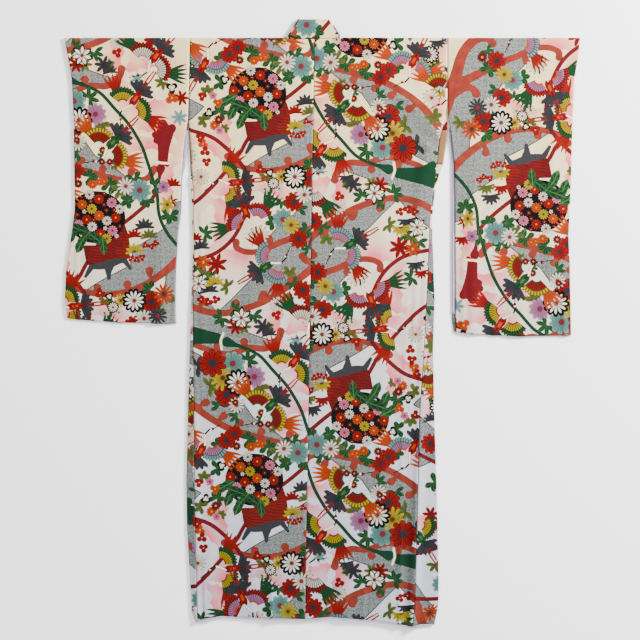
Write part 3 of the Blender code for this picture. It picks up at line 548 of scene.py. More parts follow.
# Flowers and leaves in drawing order: kind, colouring, then u, v and radius of each
blossoms = (
    ("maple", "green", (-12.7, -34.6, 2.4), (-14.2, -43.4, 2.5), (-10.9, -45, 2.3), (-8.2, -55, 2.6),
     (-0.5, -54.3, 2.5), (-5.4, -53, 2.2), (10.2, -28.4, 2.5), (12.9, -38.3, 2), (3.6, -25, 1.9),
     (6.2, -26.6, 2), (16, -49, 2.3), (-1.9, -65.6, 2.8), (-8.6, -76.6, 2.4), (-4.4, -79, 2.3),
     (-20, -64.5, 2.4), (8.8, -46.4, 2), (-19, -86, 2.4)),
    ("lobed", "green", (-1.8, 9.6, 2.2), (3.2, 7.6, 2.3), (7.9, 4, 2.2), (12.3, 4.2, 2.2),
     (9.2, 9.4, 2.2), (-9.4, 2.6, 2.1), (-9.2, -4.9, 2.1), (4.3, -31.7, 2.2), (13.2, -18, 2.4),
     (18, 0.4, 2.4), (-19.5, -13, 2.4), (-18, 9, 2.2), (-8.9, 8.2, 2), (12.6, -23, 2.2),
     (12.4, -33.6, 2.2), (1.4, -79.3, 1.2), (14.6, 7.4, 2.2)),
    ("lobed", "olive", (5.3, 6.3, 2), (-12.3, 0.2, 1.9), (-12.9, -6.8, 1.9), (1.4, -71.5, 2.3),
     (2.3, -20.4, 1.8), (4.4, -82, 1.3), (-8, -8.8, 1.3), (-18, -74, 2.2), (15.6, -22.4, 2),
     (8.2, -43.6, 1.8), (3.2, -57.4, 1.5)),
    ("maple", "olive", (-11.2, -71.9, 2.7), (-12.6, -44.6, 2.1), (-6.9, -47.5, 2.2), (16.3, -61.5, 2.2),
     (-20, -33, 2.3), (-2.9, -57.2, 2), (19.2, -20.9, 2.3), (-3, -72.8, 2.2)),
    ("bud", "grey", (11.8, -2.9, 2.6), (3.4, -59.4, 2), (-13.6, -38.2, 2.4), (-11.5, -48.8, 2.5),
     (-19, 2, 2.2)),
    ("maple", "grey", (-14.2, -67, 2.7)),
    ("star", "grey", (1.8, -57.4, 2.4)),
    ("star", "redLeaf", (-9.7, -41.9, 2.8), (-4.9, -57.2, 2.2), (20.8, -65.5, 2), (-20.5, -21, 2.2)),
    ("star", "orange", (-12.9, -41.5, 2.1)),
    ("star", "pale", (20.3, -70.3, 2.1), (10, 33.5, 1.8)),
    ("star", "yellow", (17.4, 2.9, 2.2), (-19.5, -80, 2.2)),
    ("mum", "redGrey", (-6.9, 9.4, 2.3), (-5, 11, 2.1), (10.4, -35.8, 2.4), (9.2, -26.7, 2.5),
     (13.5, -20.9, 2.6), (11.4, -48.3, 2.4), (-6.9, -73.9, 3.1), (-19.6, -3.6, 2.5), (-21, -57, 2.5),
     (13.6, -51, 2)),
    ("mum", "teal", (10.6, 6.4, 2.9), (6.5, -31, 2.7), (-5.5, -66.3, 3.1), (-18.6, -38, 2.3)),
    ("daisy", "white", (7.2, 7.4, 2.4), (11.7, -25, 2.4), (5.3, -51.7, 2), (-4.5, -76.5, 2.2),
     (13.6, -55.6, 2.3), (5.5, -23.5, 1.2), (2, -23.6, 1.2), (-17.2, -15.6, 2.3), (-20.5, -70, 2.2),
     (-20, 12.5, 2.3)),
    ("daisy", "edged", (0.7, -34.9, 2.6), (-13.6, -20.6, 2), (-17.5, -78.5, 2.3)),
    ("daisy", "yellow", (8.5, -32.4, 2.3), (-7.9, -69.8, 3.3), (6, -20.6, 1.8), (-17, -88.5, 2.2)),
    ("mum", "redGrey", (-10.5, -66.2, 3.5)),
    ("daisy", "smoke", (15, -24.3, 2.4)),
    ("daisy", "orangeGrey", (16.5, -19, 2.6), (-20.6, -45, 2.3)),
    ("mum", "lilac", (-0.2, -69.5, 2.8), (-20, -50.6, 2.2)),
    ("daisy", "ebony", (9.3, -20.6, 2.8), (-4.2, -70.9, 3.1), (4.1, -22.2, 1.4), (-17.2, 5.4, 2.1)),
    ("star", "ebony", (-14, -46.8, 2.4), (-3.5, -55.1, 2.7)),
    ("mum", "orange", (-0.9, 7.8, 1.2), (0.8, 8.4, 1), (7.7, -50.5, 1.7), (-10.4, -8, 1.3)),
    ("mum", "maroon", (13.9, -36.6, 1.3), (-4.4, 8, 1.1), (-4.8, -75.8, 0.9), (1.6, 16.2, 1),
     (1.4, -81.1, 0.9), (3.3, -81.1, 0.9), (-9.4, -6.6, 1.2), (9.6, -52.6, 1.1)),
    ("trefoil", "berry", (8.4, -10.2, 0.9), (9.9, -10.6, 0.9), (11.2, -10, 0.9), (12, -7, 0.9),
     (13.5, -7.3, 0.9), (14.6, -6.6, 0.9)),
    ("sprig", "redLeaf", (18.5, 3.8, 2)),
    ("bud", "yellow", (9.4, -8.8, 2.4), (-10, -47, 2.5)),
    ("bud", "olive", (13, -5.2, 2.3)),
    ("bud", "redLeaf", (9.2, -5.1, 2.2), (18.7, 7.4, 2.2), (-14.9, -36.1, 2)),
    ("plum", "lilac", (16.4, 7.2, 1.6)),
    ("trefoil", "orange", (1.9, 8.6, 1.1), (-13.2, -12.5, 1.3), (-9.6, -2.5, 1.3), (18.5, -65.5, 1.7),
     (-17, -19, 1.3)),
    ("trefoil", "berry", (-13.5, -0.9, 1.2), (-12.7, -14.4, 1.3), (-12.3, -16.9, 1.2), (0.9, -18.8, 1.3),
     (5.1, -54.4, 1.3), (-11.6, -51.2, 1.2), (-13.4, -50.6, 1.1), (-9.7, -50.6, 1.1), (-17.4, -30, 1.2),
     (-13.9, -11, 1.2), (16.8, -81.5, 1.2)),
    ("trefoil", "ring", (-8, 3.2, 1.3), (-11.8, -4.9, 1.3), (18.5, -63, 1.5), (-16.6, -24.4, 1.2),
     (3.2, -19.6, 1.1)),
    ("plum", "pink", (-10.9, -0.7, 1.1), (-9.2, -9.2, 1.1), (16, -52.5, 1.2), (-17.4, -9.6, 1.1)),
)

# Long leaves below the mound: u, v, half length, turn in degrees, breadth
longLeaves = (
    (-6, -4.4, 2.8, 66, 0.95), (-7.4, -1.9, 3, 28, 0.9), (-3.8, -6.7, 2.7, 66, 0.95),
    (-0.2, -5.3, 2.8, -36, 0.95), (-4.1, -3.2, 3, -20, 0.95), (-2.5, -4.9, 2, 48, 1),
    (1.7, -7.1, 2.4, 96, 0.9), (7.9, 3.8, 2, 24, 1), (4, 7, 2.1, 66, 0.95), (-0.4, 8.6, 2, 80, 1),
)

# The mound's flowers: colouring, then u and v of each
moundFlowers = (
    ("pink", (4.1, -3.6), (-4.5, -2.1), (3.9, 3.5)),
    ("red", (1.1, -4.4), (4.9, -0.3), (-2.4, -0.8), (-6.1, 0.5), (0.7, 4.4)),
    ("white", (-1, -2.6), (2.7, -1.1), (5.9, 1.9), (-1.7, 5.5)),
    ("orange", (0.7, 0.2), (-3.5, 3)),
    ("yellow", (-1.1, 1.9), (2.6, -5.6)),
)
moundBuds = (
    ("maroon", (2.5, 1.5), (-4.6, 0.4), (1.9, 2.9), (-0.9, -5.2), (-3.4, -4), (5.8, -2.4), (-5.6, 2.6),
     (-1.3, 3.7), (2, 5.6), (-0.6, -0.9), (-6.3, -2), (4.4, 1.6)),
    ("white", (2.2, -2.9), (-3, -4.9), (-2.9, 1.2), (5, -4.8), (-6, -0.9)),
)

# The mound, and the kind of its flowers and buds: table, share of the way out, radius and turn to the next
moundDisk = ("disk", "mound", 0.0, -0.2, 7.1, 0, 0.9)
moundKinds = (("pompon", moundFlowers, 0.97, 1.28, 17), ("plum", moundBuds, 1.0, 0.55, 40))

# Cranes: u, v, heading in degrees, size, then wing, plume and body colouring, side of the bend in the neck
cranes = (
    (-13.4, 6.4, 62, 0.9, "wingTeal", "plumeOrange", "body", 1),
    (-4.6, -21.9, 186, 0.88, "wingGreen", "plumeRed", "body", -1),
    (-2.9, -28.6, 292, 0.92, "wingLilac", "plumeGreen", "body", 1),
    (1.8, -43, 30, 0.88, "wingTeal", "plumeRed", "bodyGreen", -1),
    (15, -54.8, 228, 0.95, "wingWhite", "plumeGreen", "body", 1),
    (9.9, -65.2, 234, 0.92, "wingGreen", "plumeRed", "body", -1),
    (4.5, -75.9, 225, 0.98, "wingYellow", "plumeOrange", "bodyGreen", 1),
    (-22.5, -82.5, 60, 0.9, "wingYellow", "plumeOrange", "body", 1),
    (-23, -27, 120, 0.85, "wingGreen", "plumeRed", "bodyGreen", -1),
)

# The crane they all are, from above: kind, colouring, places ahead and aside, radius, turn, more turn with
# the bend, and breadth. Those beside the middle are drawn on both sides
craneShapes = (
    ("scallops", "grey", -0.6, 0, 4.2, 180, 0, 1),
    ("feathers", "plume", 3.2, 3.8, 7.4, 114, 16, 1),
    ("wing", "wing", 4.1, 1.6, 5.2, 140, 0, 0.92),
    ("leaf", "body", 0.6, 0, 3, 0, 0, 0.85),
    ("disk", "berry", 7.3, 0, 0.42, 0, 0, 1),
)
craneLines = (
    ("neck", 0.32, (3, 0), (4.6, 0.9), (6.2, 0.9), (7.3, 0)),
    ("beak", 0.2, (5.6, 1.02), (6.5, 0.78)),
    ("beak", 0.11, (7.3, 0), (9.2, -1.3)),
    ("leg", 0.19, (-3.6, 0.4), (-5.6, 0.48), (-7.8, 0.32)),
)

# Line colours of necks, beaks, legs and tassel rings
lineColours = {
    "neck": (238, 232, 220),
    "beak": (30, 28, 32),
    "leg": (196, 36, 34),
}


def direction(degrees):
    # cosine and sine of an angle
    return math.cos(math.radians(degrees)), math.sin(math.radians(degrees))


def smoothStroke(points):
    # Catmull-Rom curve through the given points, half widths along with them
    given = np.array(points, dtype=float)
    padded = np.vstack([2 * given[0] - given[1], given, 2 * given[-1] - given[-2]])
    share = np.linspace(0.0, 1.0, printDrawing["smooth"], endpoint=False)[:, None]
    pieces = []
    for a, b, c, d in zip(padded, padded[1:], padded[2:], padded[3:]):
        pieces.append(0.5 * (2 * b + (c - a) * share + (2 * a - 5 * b + 4 * c - d) * share**2
                             + (3 * b - a - 3 * c + d) * share**3))
    return np.vstack(pieces + [given[-1:]])


def nearRepeat(v, middle):
    # v moved by whole repeats to within half a repeat of a middle
    half = printDrawing["repeat"] / 2
    return (v - middle + half) % (2 * half) - half + middle


def nearBox(u, v, low, high):
    # the places inside a box on the bolt or on one of its repeats: their numbers, and their u and v in it
    near = nearRepeat(v, (low[1] + high[1]) / 2)
    inside = np.nonzero((u > low[0]) & (u < high[0]) & (near > low[1]) & (near < high[1]))[0]
    return inside, np.stack([u[inside], near[inside]], axis=1)


def besideLine(places, start, end):
    # how far along a straight stretch each place lies, as a share, and how far from it
    run = end - start
    share = np.clip(((places - start) @ run) / (run @ run), 0.0, 1.0)
    off = places - start - share[:, None] * run
    return share, np.hypot(off[:, 0], off[:, 1])


def strokeDepth(strokes, u, v):
    # how deep each place lies inside the strokes: half width less the distance to the middle line
    room = printDrawing["room"]
    depth = np.full(u.shape, -room)
    for stroke in strokes:
        line = smoothStroke(stroke)
        low, high = line.min(axis=0), line.max(axis=0)
        reach = room + high[2]
        inside, places = nearBox(u, v, low - reach, high + reach)
        best = np.full(inside.size, -room)
        for start, end in zip(line[:-1], line[1:]):
            share, away = besideLine(places, start[:2], end[:2])
            best = np.maximum(best, blend(start[2], end[2], share) - away)
        depth[inside] = np.maximum(depth[inside], best)
    return depth


def outlineDepth(outlines, u, v):
    # how deep each place lies inside the outlines: distance to the nearest side, negative outside
    room = printDrawing["room"]
    depth = np.full(u.shape, -room)
    for outline in outlines:
        points = np.array(outline, dtype=float)
        inside, places = nearBox(u, v, points.min(axis=0) - room, points.max(axis=0) + room)
        closest = np.full(inside.size, 99.0)
        crossed = np.zeros(inside.size, dtype=bool)
        for start, end in zip(points, np.roll(points, -1, axis=0)):
            run = end - start
            closest = np.minimum(closest, besideLine(places, start, end)[1])
            above = (places[:, 1] > start[1]) != (places[:, 1] > end[1])
            if run[1]:
                crossed ^= above & (places[:, 0] < start[0] + (places[:, 1] - start[1]) * run[0] / run[1])
        depth[inside] = np.maximum(depth[inside], np.where(crossed, closest, -closest).clip(-room, room))
    return depth


def cloudDepth(u, v):
    # signed distance to the edge of the nearest row of puffs, and its glow: exp(-(distance / fade)^2) on
    # the facing side, weaker to both ends
    edge, glow = np.full(u.shape, 9.0), np.zeros(u.shape)
    for middleU, middleV, radius, facing in pinkClouds:
        cos, sin = direction(facing)
        offU, offV = u - middleU, nearRepeat(v, middleV) - middleV
        ahead, aside = offU * cos + offV * sin, offV * cos - offU * sin
        away = np.full(u.shape, 9.0)
        for shift, size in puffs:
            away = np.minimum(away, np.hypot(ahead, aside - shift * radius) - size * radius)
        out, along = np.maximum(away, 0.0) / (pinkReach[0] * radius), aside / (pinkReach[1] * radius)
        own = np.exp(-(out**2) - along**2) * ease(ahead, *(share * radius for share in pinkFrom))
        edge = np.where(own > glow, away, edge)
        glow = np.maximum(glow, own)
    return edge, glow


def allShapes():
    # every shape in drawing order, as kind, colouring, u, v, radius, turn and breadth; and all thin lines
    lines = [("neck", points, printDrawing["tasselRing"]) for points in tasselRings]
    shapes = [moundDisk]
    for kind, table, drawnIn, radius, turn in moundKinds:
        for colouring, *places in table:
            for number, (u, v) in enumerate(places):
                shapes.append((kind, colouring, drawnIn * u, drawnIn * v, radius, turn * number, 1.0))
    for u, v, half, turn, breadth in longLeaves:
        shapes.append(("leaf", "green" if turn > 0 else "darkGreen", u, v, half, turn, breadth))
    (first, onward), (ground, drawn) = printDrawing["turns"], printDrawing["ebony"]
    for kind, colouring, *places in blossoms:
        for number, (u, v, radius) in enumerate(places):
            turn = printDrawing["budTurn"] if kind == "bud" else onward * number + first
            if colouring == "ebony":
                below = "halo" if kind == "daisy" else kind
                shapes.append((below, "mound", u, v, radius * ground, turn, 1.0))
                radius *= drawn
            shapes.append((kind, colouring, u, v, radius, turn, 1.0))
    for crane in cranes:
        drawCrane(shapes, lines, *crane)
    return shapes, lines


def drawCrane(shapes, lines, u, v, heading, size, wing, plume, body, bend):
    # turns the crane's shapes and lines from its own frame of forward and sideways to its heading
    cos, sin = direction(heading)
    looks = {"wing": wing, "plume": plume, "body": body}

    def place(ahead, aside):
        return u + size * (ahead * cos - aside * sin), v + size * (ahead * sin + aside * cos)

    for kind, look, ahead, aside, radius, turn, bent, breadth in craneShapes:
        for side in (-1, 1) if aside else (1,):
            middle, turned = place(ahead, side * aside), heading + side * turn + bend * bent
            shapes.append((kind, looks.get(look, look), *middle, radius * size, turned, breadth))
    for colour, half, *points in craneLines:
        for side in (-1, 1) if colour == "leg" else (bend,):
            lines.append((colour, [place(ahead, side * aside) for ahead, aside in points], half))


# The print goes onto the squares as attributes

printShapes, printLines = allShapes()
kindOrder, colouringOrder, lineOrder = list(shapeKinds), list(colourings), list(lineColours)


def isOpen(colouring):
    return colouring.startswith("wing")


def layShapes(corners, middles, reach):
    # A square keeps the shapes that reach it, newest on top, and a shape that fills it drops those below.
    # Each shape writes its own frame to the square's corners: x, y in radii, its kind and its colouring
    nothing = (9.0, 0.0, 0.0, 0.0)
    drawn = np.full((printDrawing["layers"], len(middles), 4, 4), nothing, dtype=np.float32)
    used = np.zeros(len(middles), dtype=int)
    for kind, colouring, u, v, radius, turn, breadth in printShapes:
        offU, offV = middles[:, 0] - u, nearRepeat(middles[:, 1], v) - v
        near = np.nonzero((np.abs(offU) < radius + reach) & (np.abs(offV) < radius + reach))[0]
        if not near.size:
            continue
        cos, sin = direction(turn)
        offU, offV = offU[near], offV[near]
        x, y = (offU * cos + offV * sin) / radius, (offV * cos - offU * sin) / radius / breadth
        away = np.hypot(x, y)
        _, inner, _, span = shapeKinds[kind]
        slack = reach / radius / min(1.0, breadth)
        wide = np.abs(np.arctan2(y, x)) < span * math.pi + slack / np.maximum(away, 0.05)
        claimed = (away < 1 + slack) & wide
        near, away, offU, offV = near[claimed], away[claimed], offU[claimed], offV[claimed]
        if not near.size:
            continue
        if span == 1.0 and not isOpen(colouring):
            filled = near[away < inner - slack]
            drawn[:, filled] = nothing
            used[filled] = 0
        full = near[used[near] == printDrawing["layers"]]
        drawn[:-1, full] = drawn[1:, full]
        used[full] -= 1
        own = corners[near] - middles[near][:, None, :]
        cornerU, cornerV = own[..., 0] + offU[:, None], own[..., 1] + offV[:, None]
        frame = np.full((near.size, 4, 4), float(colouringOrder.index(colouring)))
        frame[..., 0] = (cornerU * cos + cornerV * sin) / radius
        frame[..., 1] = (cornerV * cos - cornerU * sin) / radius / breadth
        frame[..., 2] = kindOrder.index(kind)
        drawn[used[near], near] = frame
        used[near] += 1
    return drawn


def layLines(corners, middles, reach):
    # thin lines: signed distance from the nearest stretch, half width, number of the colour, distance along
    laid = np.full((len(middles), 4, 4), (9.0, 0.0, 0.0, 0.0))
    for colour, points, half in printLines:
        line = smoothStroke([(*point, half) for point in points])[:, :2]
        room = reach + half
        low, high = line.min(axis=0) - room, line.max(axis=0) + room
        inside, place = nearBox(middles[:, 0], middles[:, 1], low, high)
        if not inside.size:
            continue
        runs = np.diff(line, axis=0)
        lengths = np.hypot(runs[:, 0], runs[:, 1])
        along = np.einsum("fsk,sk->fs", place[:, None, :] - line[None, :-1], runs) / lengths**2
        closest = line[None, :-1] + np.clip(along, 0, 1)[..., None] * runs[None]
        off = np.hypot(*np.moveaxis(place[:, None, :] - closest, -1, 0))
        stretch = off.argmin(axis=1)
        claimed = off.min(axis=1) < room
        inside, stretch, place = inside[claimed], stretch[claimed], place[claimed]
        start = place - middles[inside] - line[stretch]
        own = corners[inside] + start[:, None, :]
        run, length = runs[stretch][:, None, :], lengths[stretch][:, None]
        walked = np.concatenate([[0.0], np.cumsum(lengths)])
        laid[inside, :, 0] = (own[..., 0] * run[..., 1] - own[..., 1] * run[..., 0]) / length
        laid[inside, :, 1] = half
        laid[inside, :, 2] = lineOrder.index(colour)
        laid[inside, :, 3] = walked[stretch][:, None] + (own * run).sum(axis=-1) / length
    return laid


def layPrint(mesh, places, order, spacing):
    # writes the print to a mesh: depths inside fields, bands and cords, and the frames of shapes and lines

    def write(name, kind, field, values):
        data = np.asarray(values, dtype=np.float32).reshape(-1)
        mesh.attributes.new(name, kind, "CORNER").data.foreach_set(field, data)

    bolt = places / printDrawing["centimetre"]
    u, v = bolt[:, 0], bolt[:, 1]
    hooks = [[(*point, half) for point, half in zip(hook, hookHalves)] for hook in mistHooks]
    bands = strokeDepth((*mistStrokes, *hooks), u, v)
    cords = [strokeDepth(strokes, u, v) for strokes in (crimsonStrokes, greenStrokes, charcoalStrokes)]
    for name, values in (
        ("mist", (outlineDepth(mistFields, u, v), bands, outlineDepth((tubOutline,), u, v))),
        ("cords", cords),
        ("cloud", (*cloudDepth(u, v), 0.0 * u)),
    ):
        write(name, "FLOAT_VECTOR", "vector", np.stack(values, axis=-1)[order])
    corners = bolt[order]
    middles = corners.mean(axis=1)
    share, more = printDrawing["reach"]
    reach = share * spacing + more
    for number, laid in enumerate(layShapes(corners, middles, reach)):
        write(f"drawn_{number}", "FLOAT_COLOR", "color", laid)
    write("lines", "FLOAT_COLOR", "color", layLines(corners, middles, reach))


# Sheets of cloth

class Cloth:
    # a piece of cloth under way: grids of points, each with its place on the bolt (u across, v along)

    def __init__(self):
        self.points, self.places, self.squares, self.count = [], [], [], 0

    def grid(self, x, y, z, u, v):
        # adds a grid whose neighbouring points are joined by squares
        sheet = np.stack(np.broadcast_arrays(x, y, z, u, v), axis=-1).astype(float)
        rows, columns = sheet.shape[:2]
        order = self.count + np.arange(rows * columns).reshape(rows, columns)
        corners = (order[:-1, :-1], order[:-1, 1:], order[1:, 1:], order[1:, :-1])
        self.squares.append(np.stack(corners, axis=-1).reshape(-1, 4))
        self.points.append(sheet[..., :3].reshape(-1, 3))
        self.places.append(sheet[..., 3:].reshape(-1, 2))
        self.count += rows * columns
        return self

    def make(self, name, node, slot, wall, spacing):
        # welds points that lie together, turns all squares one way, writes the bolt map and the print of a
        # printed piece, and gives it a wall
        points, places = np.concatenate(self.points), np.concatenate(self.places)
        squares = np.concatenate(self.squares)
        keys = np.round(points / layers["weld"]).astype(np.int64)
        _, first, inverse = np.unique(keys, axis=0, return_index=True, return_inverse=True)
        welded = inverse.reshape(-1)[squares]
        mesh = bpy.data.meshes.new(name)
        mesh.from_pydata(points[first], [], welded)
        shape = bmesh.new()
        shape.from_mesh(mesh)
        bmesh.ops.recalc_face_normals(shape, faces=shape.faces)
        shape.to_mesh(mesh)
        shape.free()
        corners = np.empty(len(mesh.loops), dtype=np.int32)
        mesh.loops.foreach_get("vertex_index", corners)
        turned = (corners.reshape(-1, 4)[:, :, None] == welded[:, None, :]).argmax(axis=2)
        order = np.take_along_axis(squares, turned, axis=1)
        mesh.uv_layers.new(name="bolt").data.foreach_set("uv", places[order].reshape(-1).astype(np.float32))
        if slot == "printed_silk":
            layPrint(mesh, places, order, spacing)
        mesh.polygons.foreach_set("use_smooth", np.ones(len(mesh.polygons), dtype=bool))
        mesh.materials.append(finishes[slot])
        piece = stand(name, mesh)
        shell = piece.modifiers.new("wall", "SOLIDIFY")
        shell.thickness = wall
        shell.offset = 0.0
        shell.use_even_offset = True
        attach(piece, "root")
        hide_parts(node)
        return piece


def fromTo(start, end, spacing):
    # shares from 0 to 1 in steps of about one spacing
    return np.linspace(0.0, 1.0, max(2, int(math.ceil(abs(end - start) / spacing)) + 1))


def rowsFromTo(start, end, spacing):
    # the heights of the rows of a grid
    return blend(start, end, fromTo(start, end, spacing))[:, None]


def halfRound(upper, lower, outX, outY, points):
    # half circles that join an upper edge to a lower one, and the length along them:
    # middle + half * cos(turn) + out * reach * sin(turn), with reach as half of the height between them
    turn = np.linspace(0.0, math.pi, points + 2)[:, None]
    reach = (upper[2] - lower[2]) / 2
    x, y, z = ((a + b) / 2 + (a - b) / 2 * np.cos(turn) for a, b in zip(upper, lower))
    return (x + outX * reach * np.sin(turn), y + outY * reach * np.sin(turn), z), reach * turn


# Finishes

class Ink:
    # wraps a shader socket, so that sums of sockets and numbers read as plain expressions

    def __init__(self, tree, socket=None):
        self.tree, self.socket = tree, socket

    def node(self, kind, settings=None, sockets=None, output=0):
        # any node: its settings first, then the values or links of its sockets
        made = self.tree.nodes.new(kind)
        for name, value in (settings or {}).items():
            if name == "stops":
                self.fillRamp(made.color_ramp, value)
            else:
                setattr(made, name, value)
        self.fill(made, sockets or {})
        return Ink(self.tree, made.outputs[output] if made.outputs else None)

    def fill(self, made, sockets):
        # the values or links of a node's sockets
        for key, value in sockets.items():
            if isinstance(value, Ink):
                self.tree.links.new(value.socket, made.inputs[key])
            else:
                made.inputs[key].default_value = value

    def fillRamp(self, ramp, stops):
        # a ramp of equal steps, one for each row of a table
        ramp.interpolation = "CONSTANT"
        while len(ramp.elements) < len(stops):
            ramp.elements.new(0.5)
        for number in range(len(stops)):
            ramp.elements[number].position = number / len(stops)
        for element, stop in zip(ramp.elements, stops):
            element.color = stop

    def other(self, output):
        # another output of the same node
        return Ink(self.tree, self.socket.node.outputs[output])

    def ramp(self, stops):
        # the row of a table that this number names
        return self.node("ShaderNodeValToRGB", {"stops": stops}, {0: (self + 0.5) / len(stops)})

    def noise(self, place, scale, detail, roughness=0.5):
        sockets = {"Vector": place, "Scale": scale, "Detail": detail, "Roughness": roughness}
        return self.node("ShaderNodeTexNoise", None, sockets)

    def attribute(self, name):
        return self.node("ShaderNodeAttribute", {"attribute_name": name}, None, 1)

    def math(self, operation, *others):
        return self.node("ShaderNodeMath", {"operation": operation}, dict(enumerate((self, *others))))

    def reversed(self, operation, other):
        return self.node("ShaderNodeMath", {"operation": operation}, {0: other, 1: self})

    def wave(self):
        return self.math("SINE")

    def spread(self, gain, level):
        # a noise of about 0.5 spread out round a level
        return (self - 0.5) * gain + level

    def split(self):
        vector = self.node("ShaderNodeSeparateXYZ", None, {0: self})
        return vector, vector.other(1), vector.other(2)

    def mixed(self, below, above, mask, blending="MIX"):
        # a colour with another one over it where the mask is 1
        settings = {"data_type": "RGBA", "blend_type": blending}
        return self.node("ShaderNodeMix", settings, {0: mask, 6: below, 7: above}, 2)

    def mix(self, above, mask):
        return self.mixed(self, above, mask)

    def shade(self, mask, *strengths):
        # this colour made darker where the mask is 1, by one share or by one for each channel
        kept = [1 - strength for strength in strengths] * (3 // len(strengths))
        return self.mix(self.mixed(self, (*kept, 1), 1.0, "MULTIPLY"), mask)

    __add__ = __radd__ = partialmethod(math, "ADD")
    __mul__ = __rmul__ = partialmethod(math, "MULTIPLY")
    __sub__ = partialmethod(math, "SUBTRACT")
    __rsub__ = partialmethod(reversed, "SUBTRACT")
    __truediv__ = partialmethod(math, "DIVIDE")
    __rtruediv__ = partialmethod(reversed, "DIVIDE")
    __pow__ = partialmethod(math, "POWER")
    __lt__ = partialmethod(math, "LESS_THAN")
    __gt__ = partialmethod(math, "GREATER_THAN")
    __abs__ = partialmethod(math, "ABSOLUTE")


def linear(colour):
    # a screen colour of 0 to 255 as the shader's linear one
    shares = [channel / 255 for channel in colour]
    bright = [share / 12.92 if share <= 0.04045 else ((share + 0.055) / 1.055) ** 2.4 for share in shares]
    return (*bright, 1.0)


def dyed(colour):
    # the paint that shows as a screen colour under the studio's strong light: channels drawn together,
    # then gain * share / (1 - shoulder * share), then pushed apart again
    shares = np.array(linear(colour)[:3])
    shares += silkLook["muted"] * (shares.mean() - shares)
    paint = silkLook["gain"] * shares / (1 - silkLook["shoulder"] * shares)
    paint += silkLook["parted"] * (paint - paint.mean())
    return (*[max(silkLook["darkest"], float(share)) for share in paint], 1.0)


silkLook = {
    "cream": (234, 226, 204),
    "hemShadeGround": (224, 222, 223),      # painted shade: the ground greyer and cooler towards the hem
    "pink": (238, 162, 172),
    "fieldLight": (201, 202, 198),
    "fieldDot": (74, 76, 78),
    "fieldLine": (60, 58, 60),
    "dotPitch": 0.42,               # in centimetres, like the line, band and cord edge below
    "dotSlant": 0.7071,             # the weave lies at 45 degrees
    "fieldLineHalf": 0.11,
    "bandGrown": 0.22,              # the bands are this much wider than their strokes
    "cordEdge": 0.10,
    "cordEdgeShade": 0.35,
    "figured": 0.95,                # how strongly dots and pink clouds show
    "dotLevel": 0.50,               # the weave of dots is dark above this, less a share of the grain
    "dotGrain": 0.95,
    "fieldStains": (5, 0.4, 0.26),  # gain and level of a noise, and the share by which it darkens
    "bandStains": (1.6, 0.5),
    "washShade": (1.2, 0.3, 0.12),
    "fineShade": (3, 0.5, 0.15),
    "speckles": (21, 9, 0.45, 0.12),            # turns each centimetre, bent by the wash, level, strength
    "bandRim": (0.12, 0.6),                     # width and strength
    "strands": (1.3, 2.1, 4.2, 0.72, 0.35),     # slant across and along, turns, level, strength
    "hatch": (2.2, 8.6, 0.30, 0.5),             # turns across and along, level, strength
    "hatchBows": (1.1, 5, 2.2, 12),             # turns, bent by the wash, height, unevenness
    "warmSide": (0.5, 0.3, 9, 5.2, 0.55),       # slant across and along, unevenness, level, strength
    "charcoalShade": 0.45,
    "lineRim": (0.66, 0.75),                    # share of the half width, and strength
    "hemShadeFrom": (0.45, 0.7),      # the ground's painted shade starts below this height and grows over this far
    "lowFrom": (0.40, 1.0),         # and painted shade makes the whole cloth darker from this height down, over this far, by these shares of red, green and blue
    "lowShade": (0.31, 0.24, 0.18),
    "wash": (46.0, 3.0),            # noises: scale and detail
    "fine": (420.0, 2.0),
    "grain": (270.0, 1.0),
    "crinkle": (900.0, 3.0, 0.6),   # with its roughness
    "pebbles": (260.0, 2.0),
    "ribPitch": 0.0011,
    "ribHeight": 0.15,
    "pebbleHeight": 0.6,
    "terracotta": (202, 88, 60),
    "terracottaDeep": (168, 60, 44),
    "crimson": (156, 24, 38),
    "crimsonLine": (178, 76, 74),
    "green": (14, 88, 54),
    "greenLine": (50, 120, 84),
    "brick": (156, 32, 34),
    "brickLine": (80, 12, 18),
    "brickLight": (182, 54, 34),
    "charcoal": (94, 96, 100),
    "muted": 0.30,                  # this one and the next four make paints of screen colours
    "gain": 0.24,
    "shoulder": 0.91,
    "parted": 0.33,
    "darkest": 0.0008,
    "roughness": 0.78,
    "roughnessSwing": 0.22,
    "bumpStrength": 0.35,
    "bumpHeight": 0.0006,
    "sheen": 0.05,
    "sheenRoughness": 0.5,
    "specular": 0.06,
}


shapeLook = {
    "mostPetals": 50,           # a ramp holds 0 to 1, so petals and round are given as shares of these
    "mostRound": 3,
    "rimSlant": 2.2,            # how much sooner the outline starts between two petals
    "slack": 0.001,
    "open": 0.08,               # an open shape starts this much past its heart
    "tipLine": 0.025,
    "ribs": (11, 15, 0.62),     # a leaf's: waves along and across it, and level
    "heartShade": 0.35,         # strengths
    "ribsShown": 0.4,
    "veinsShown": 0.85,
    "rimShown": 0.9,
}


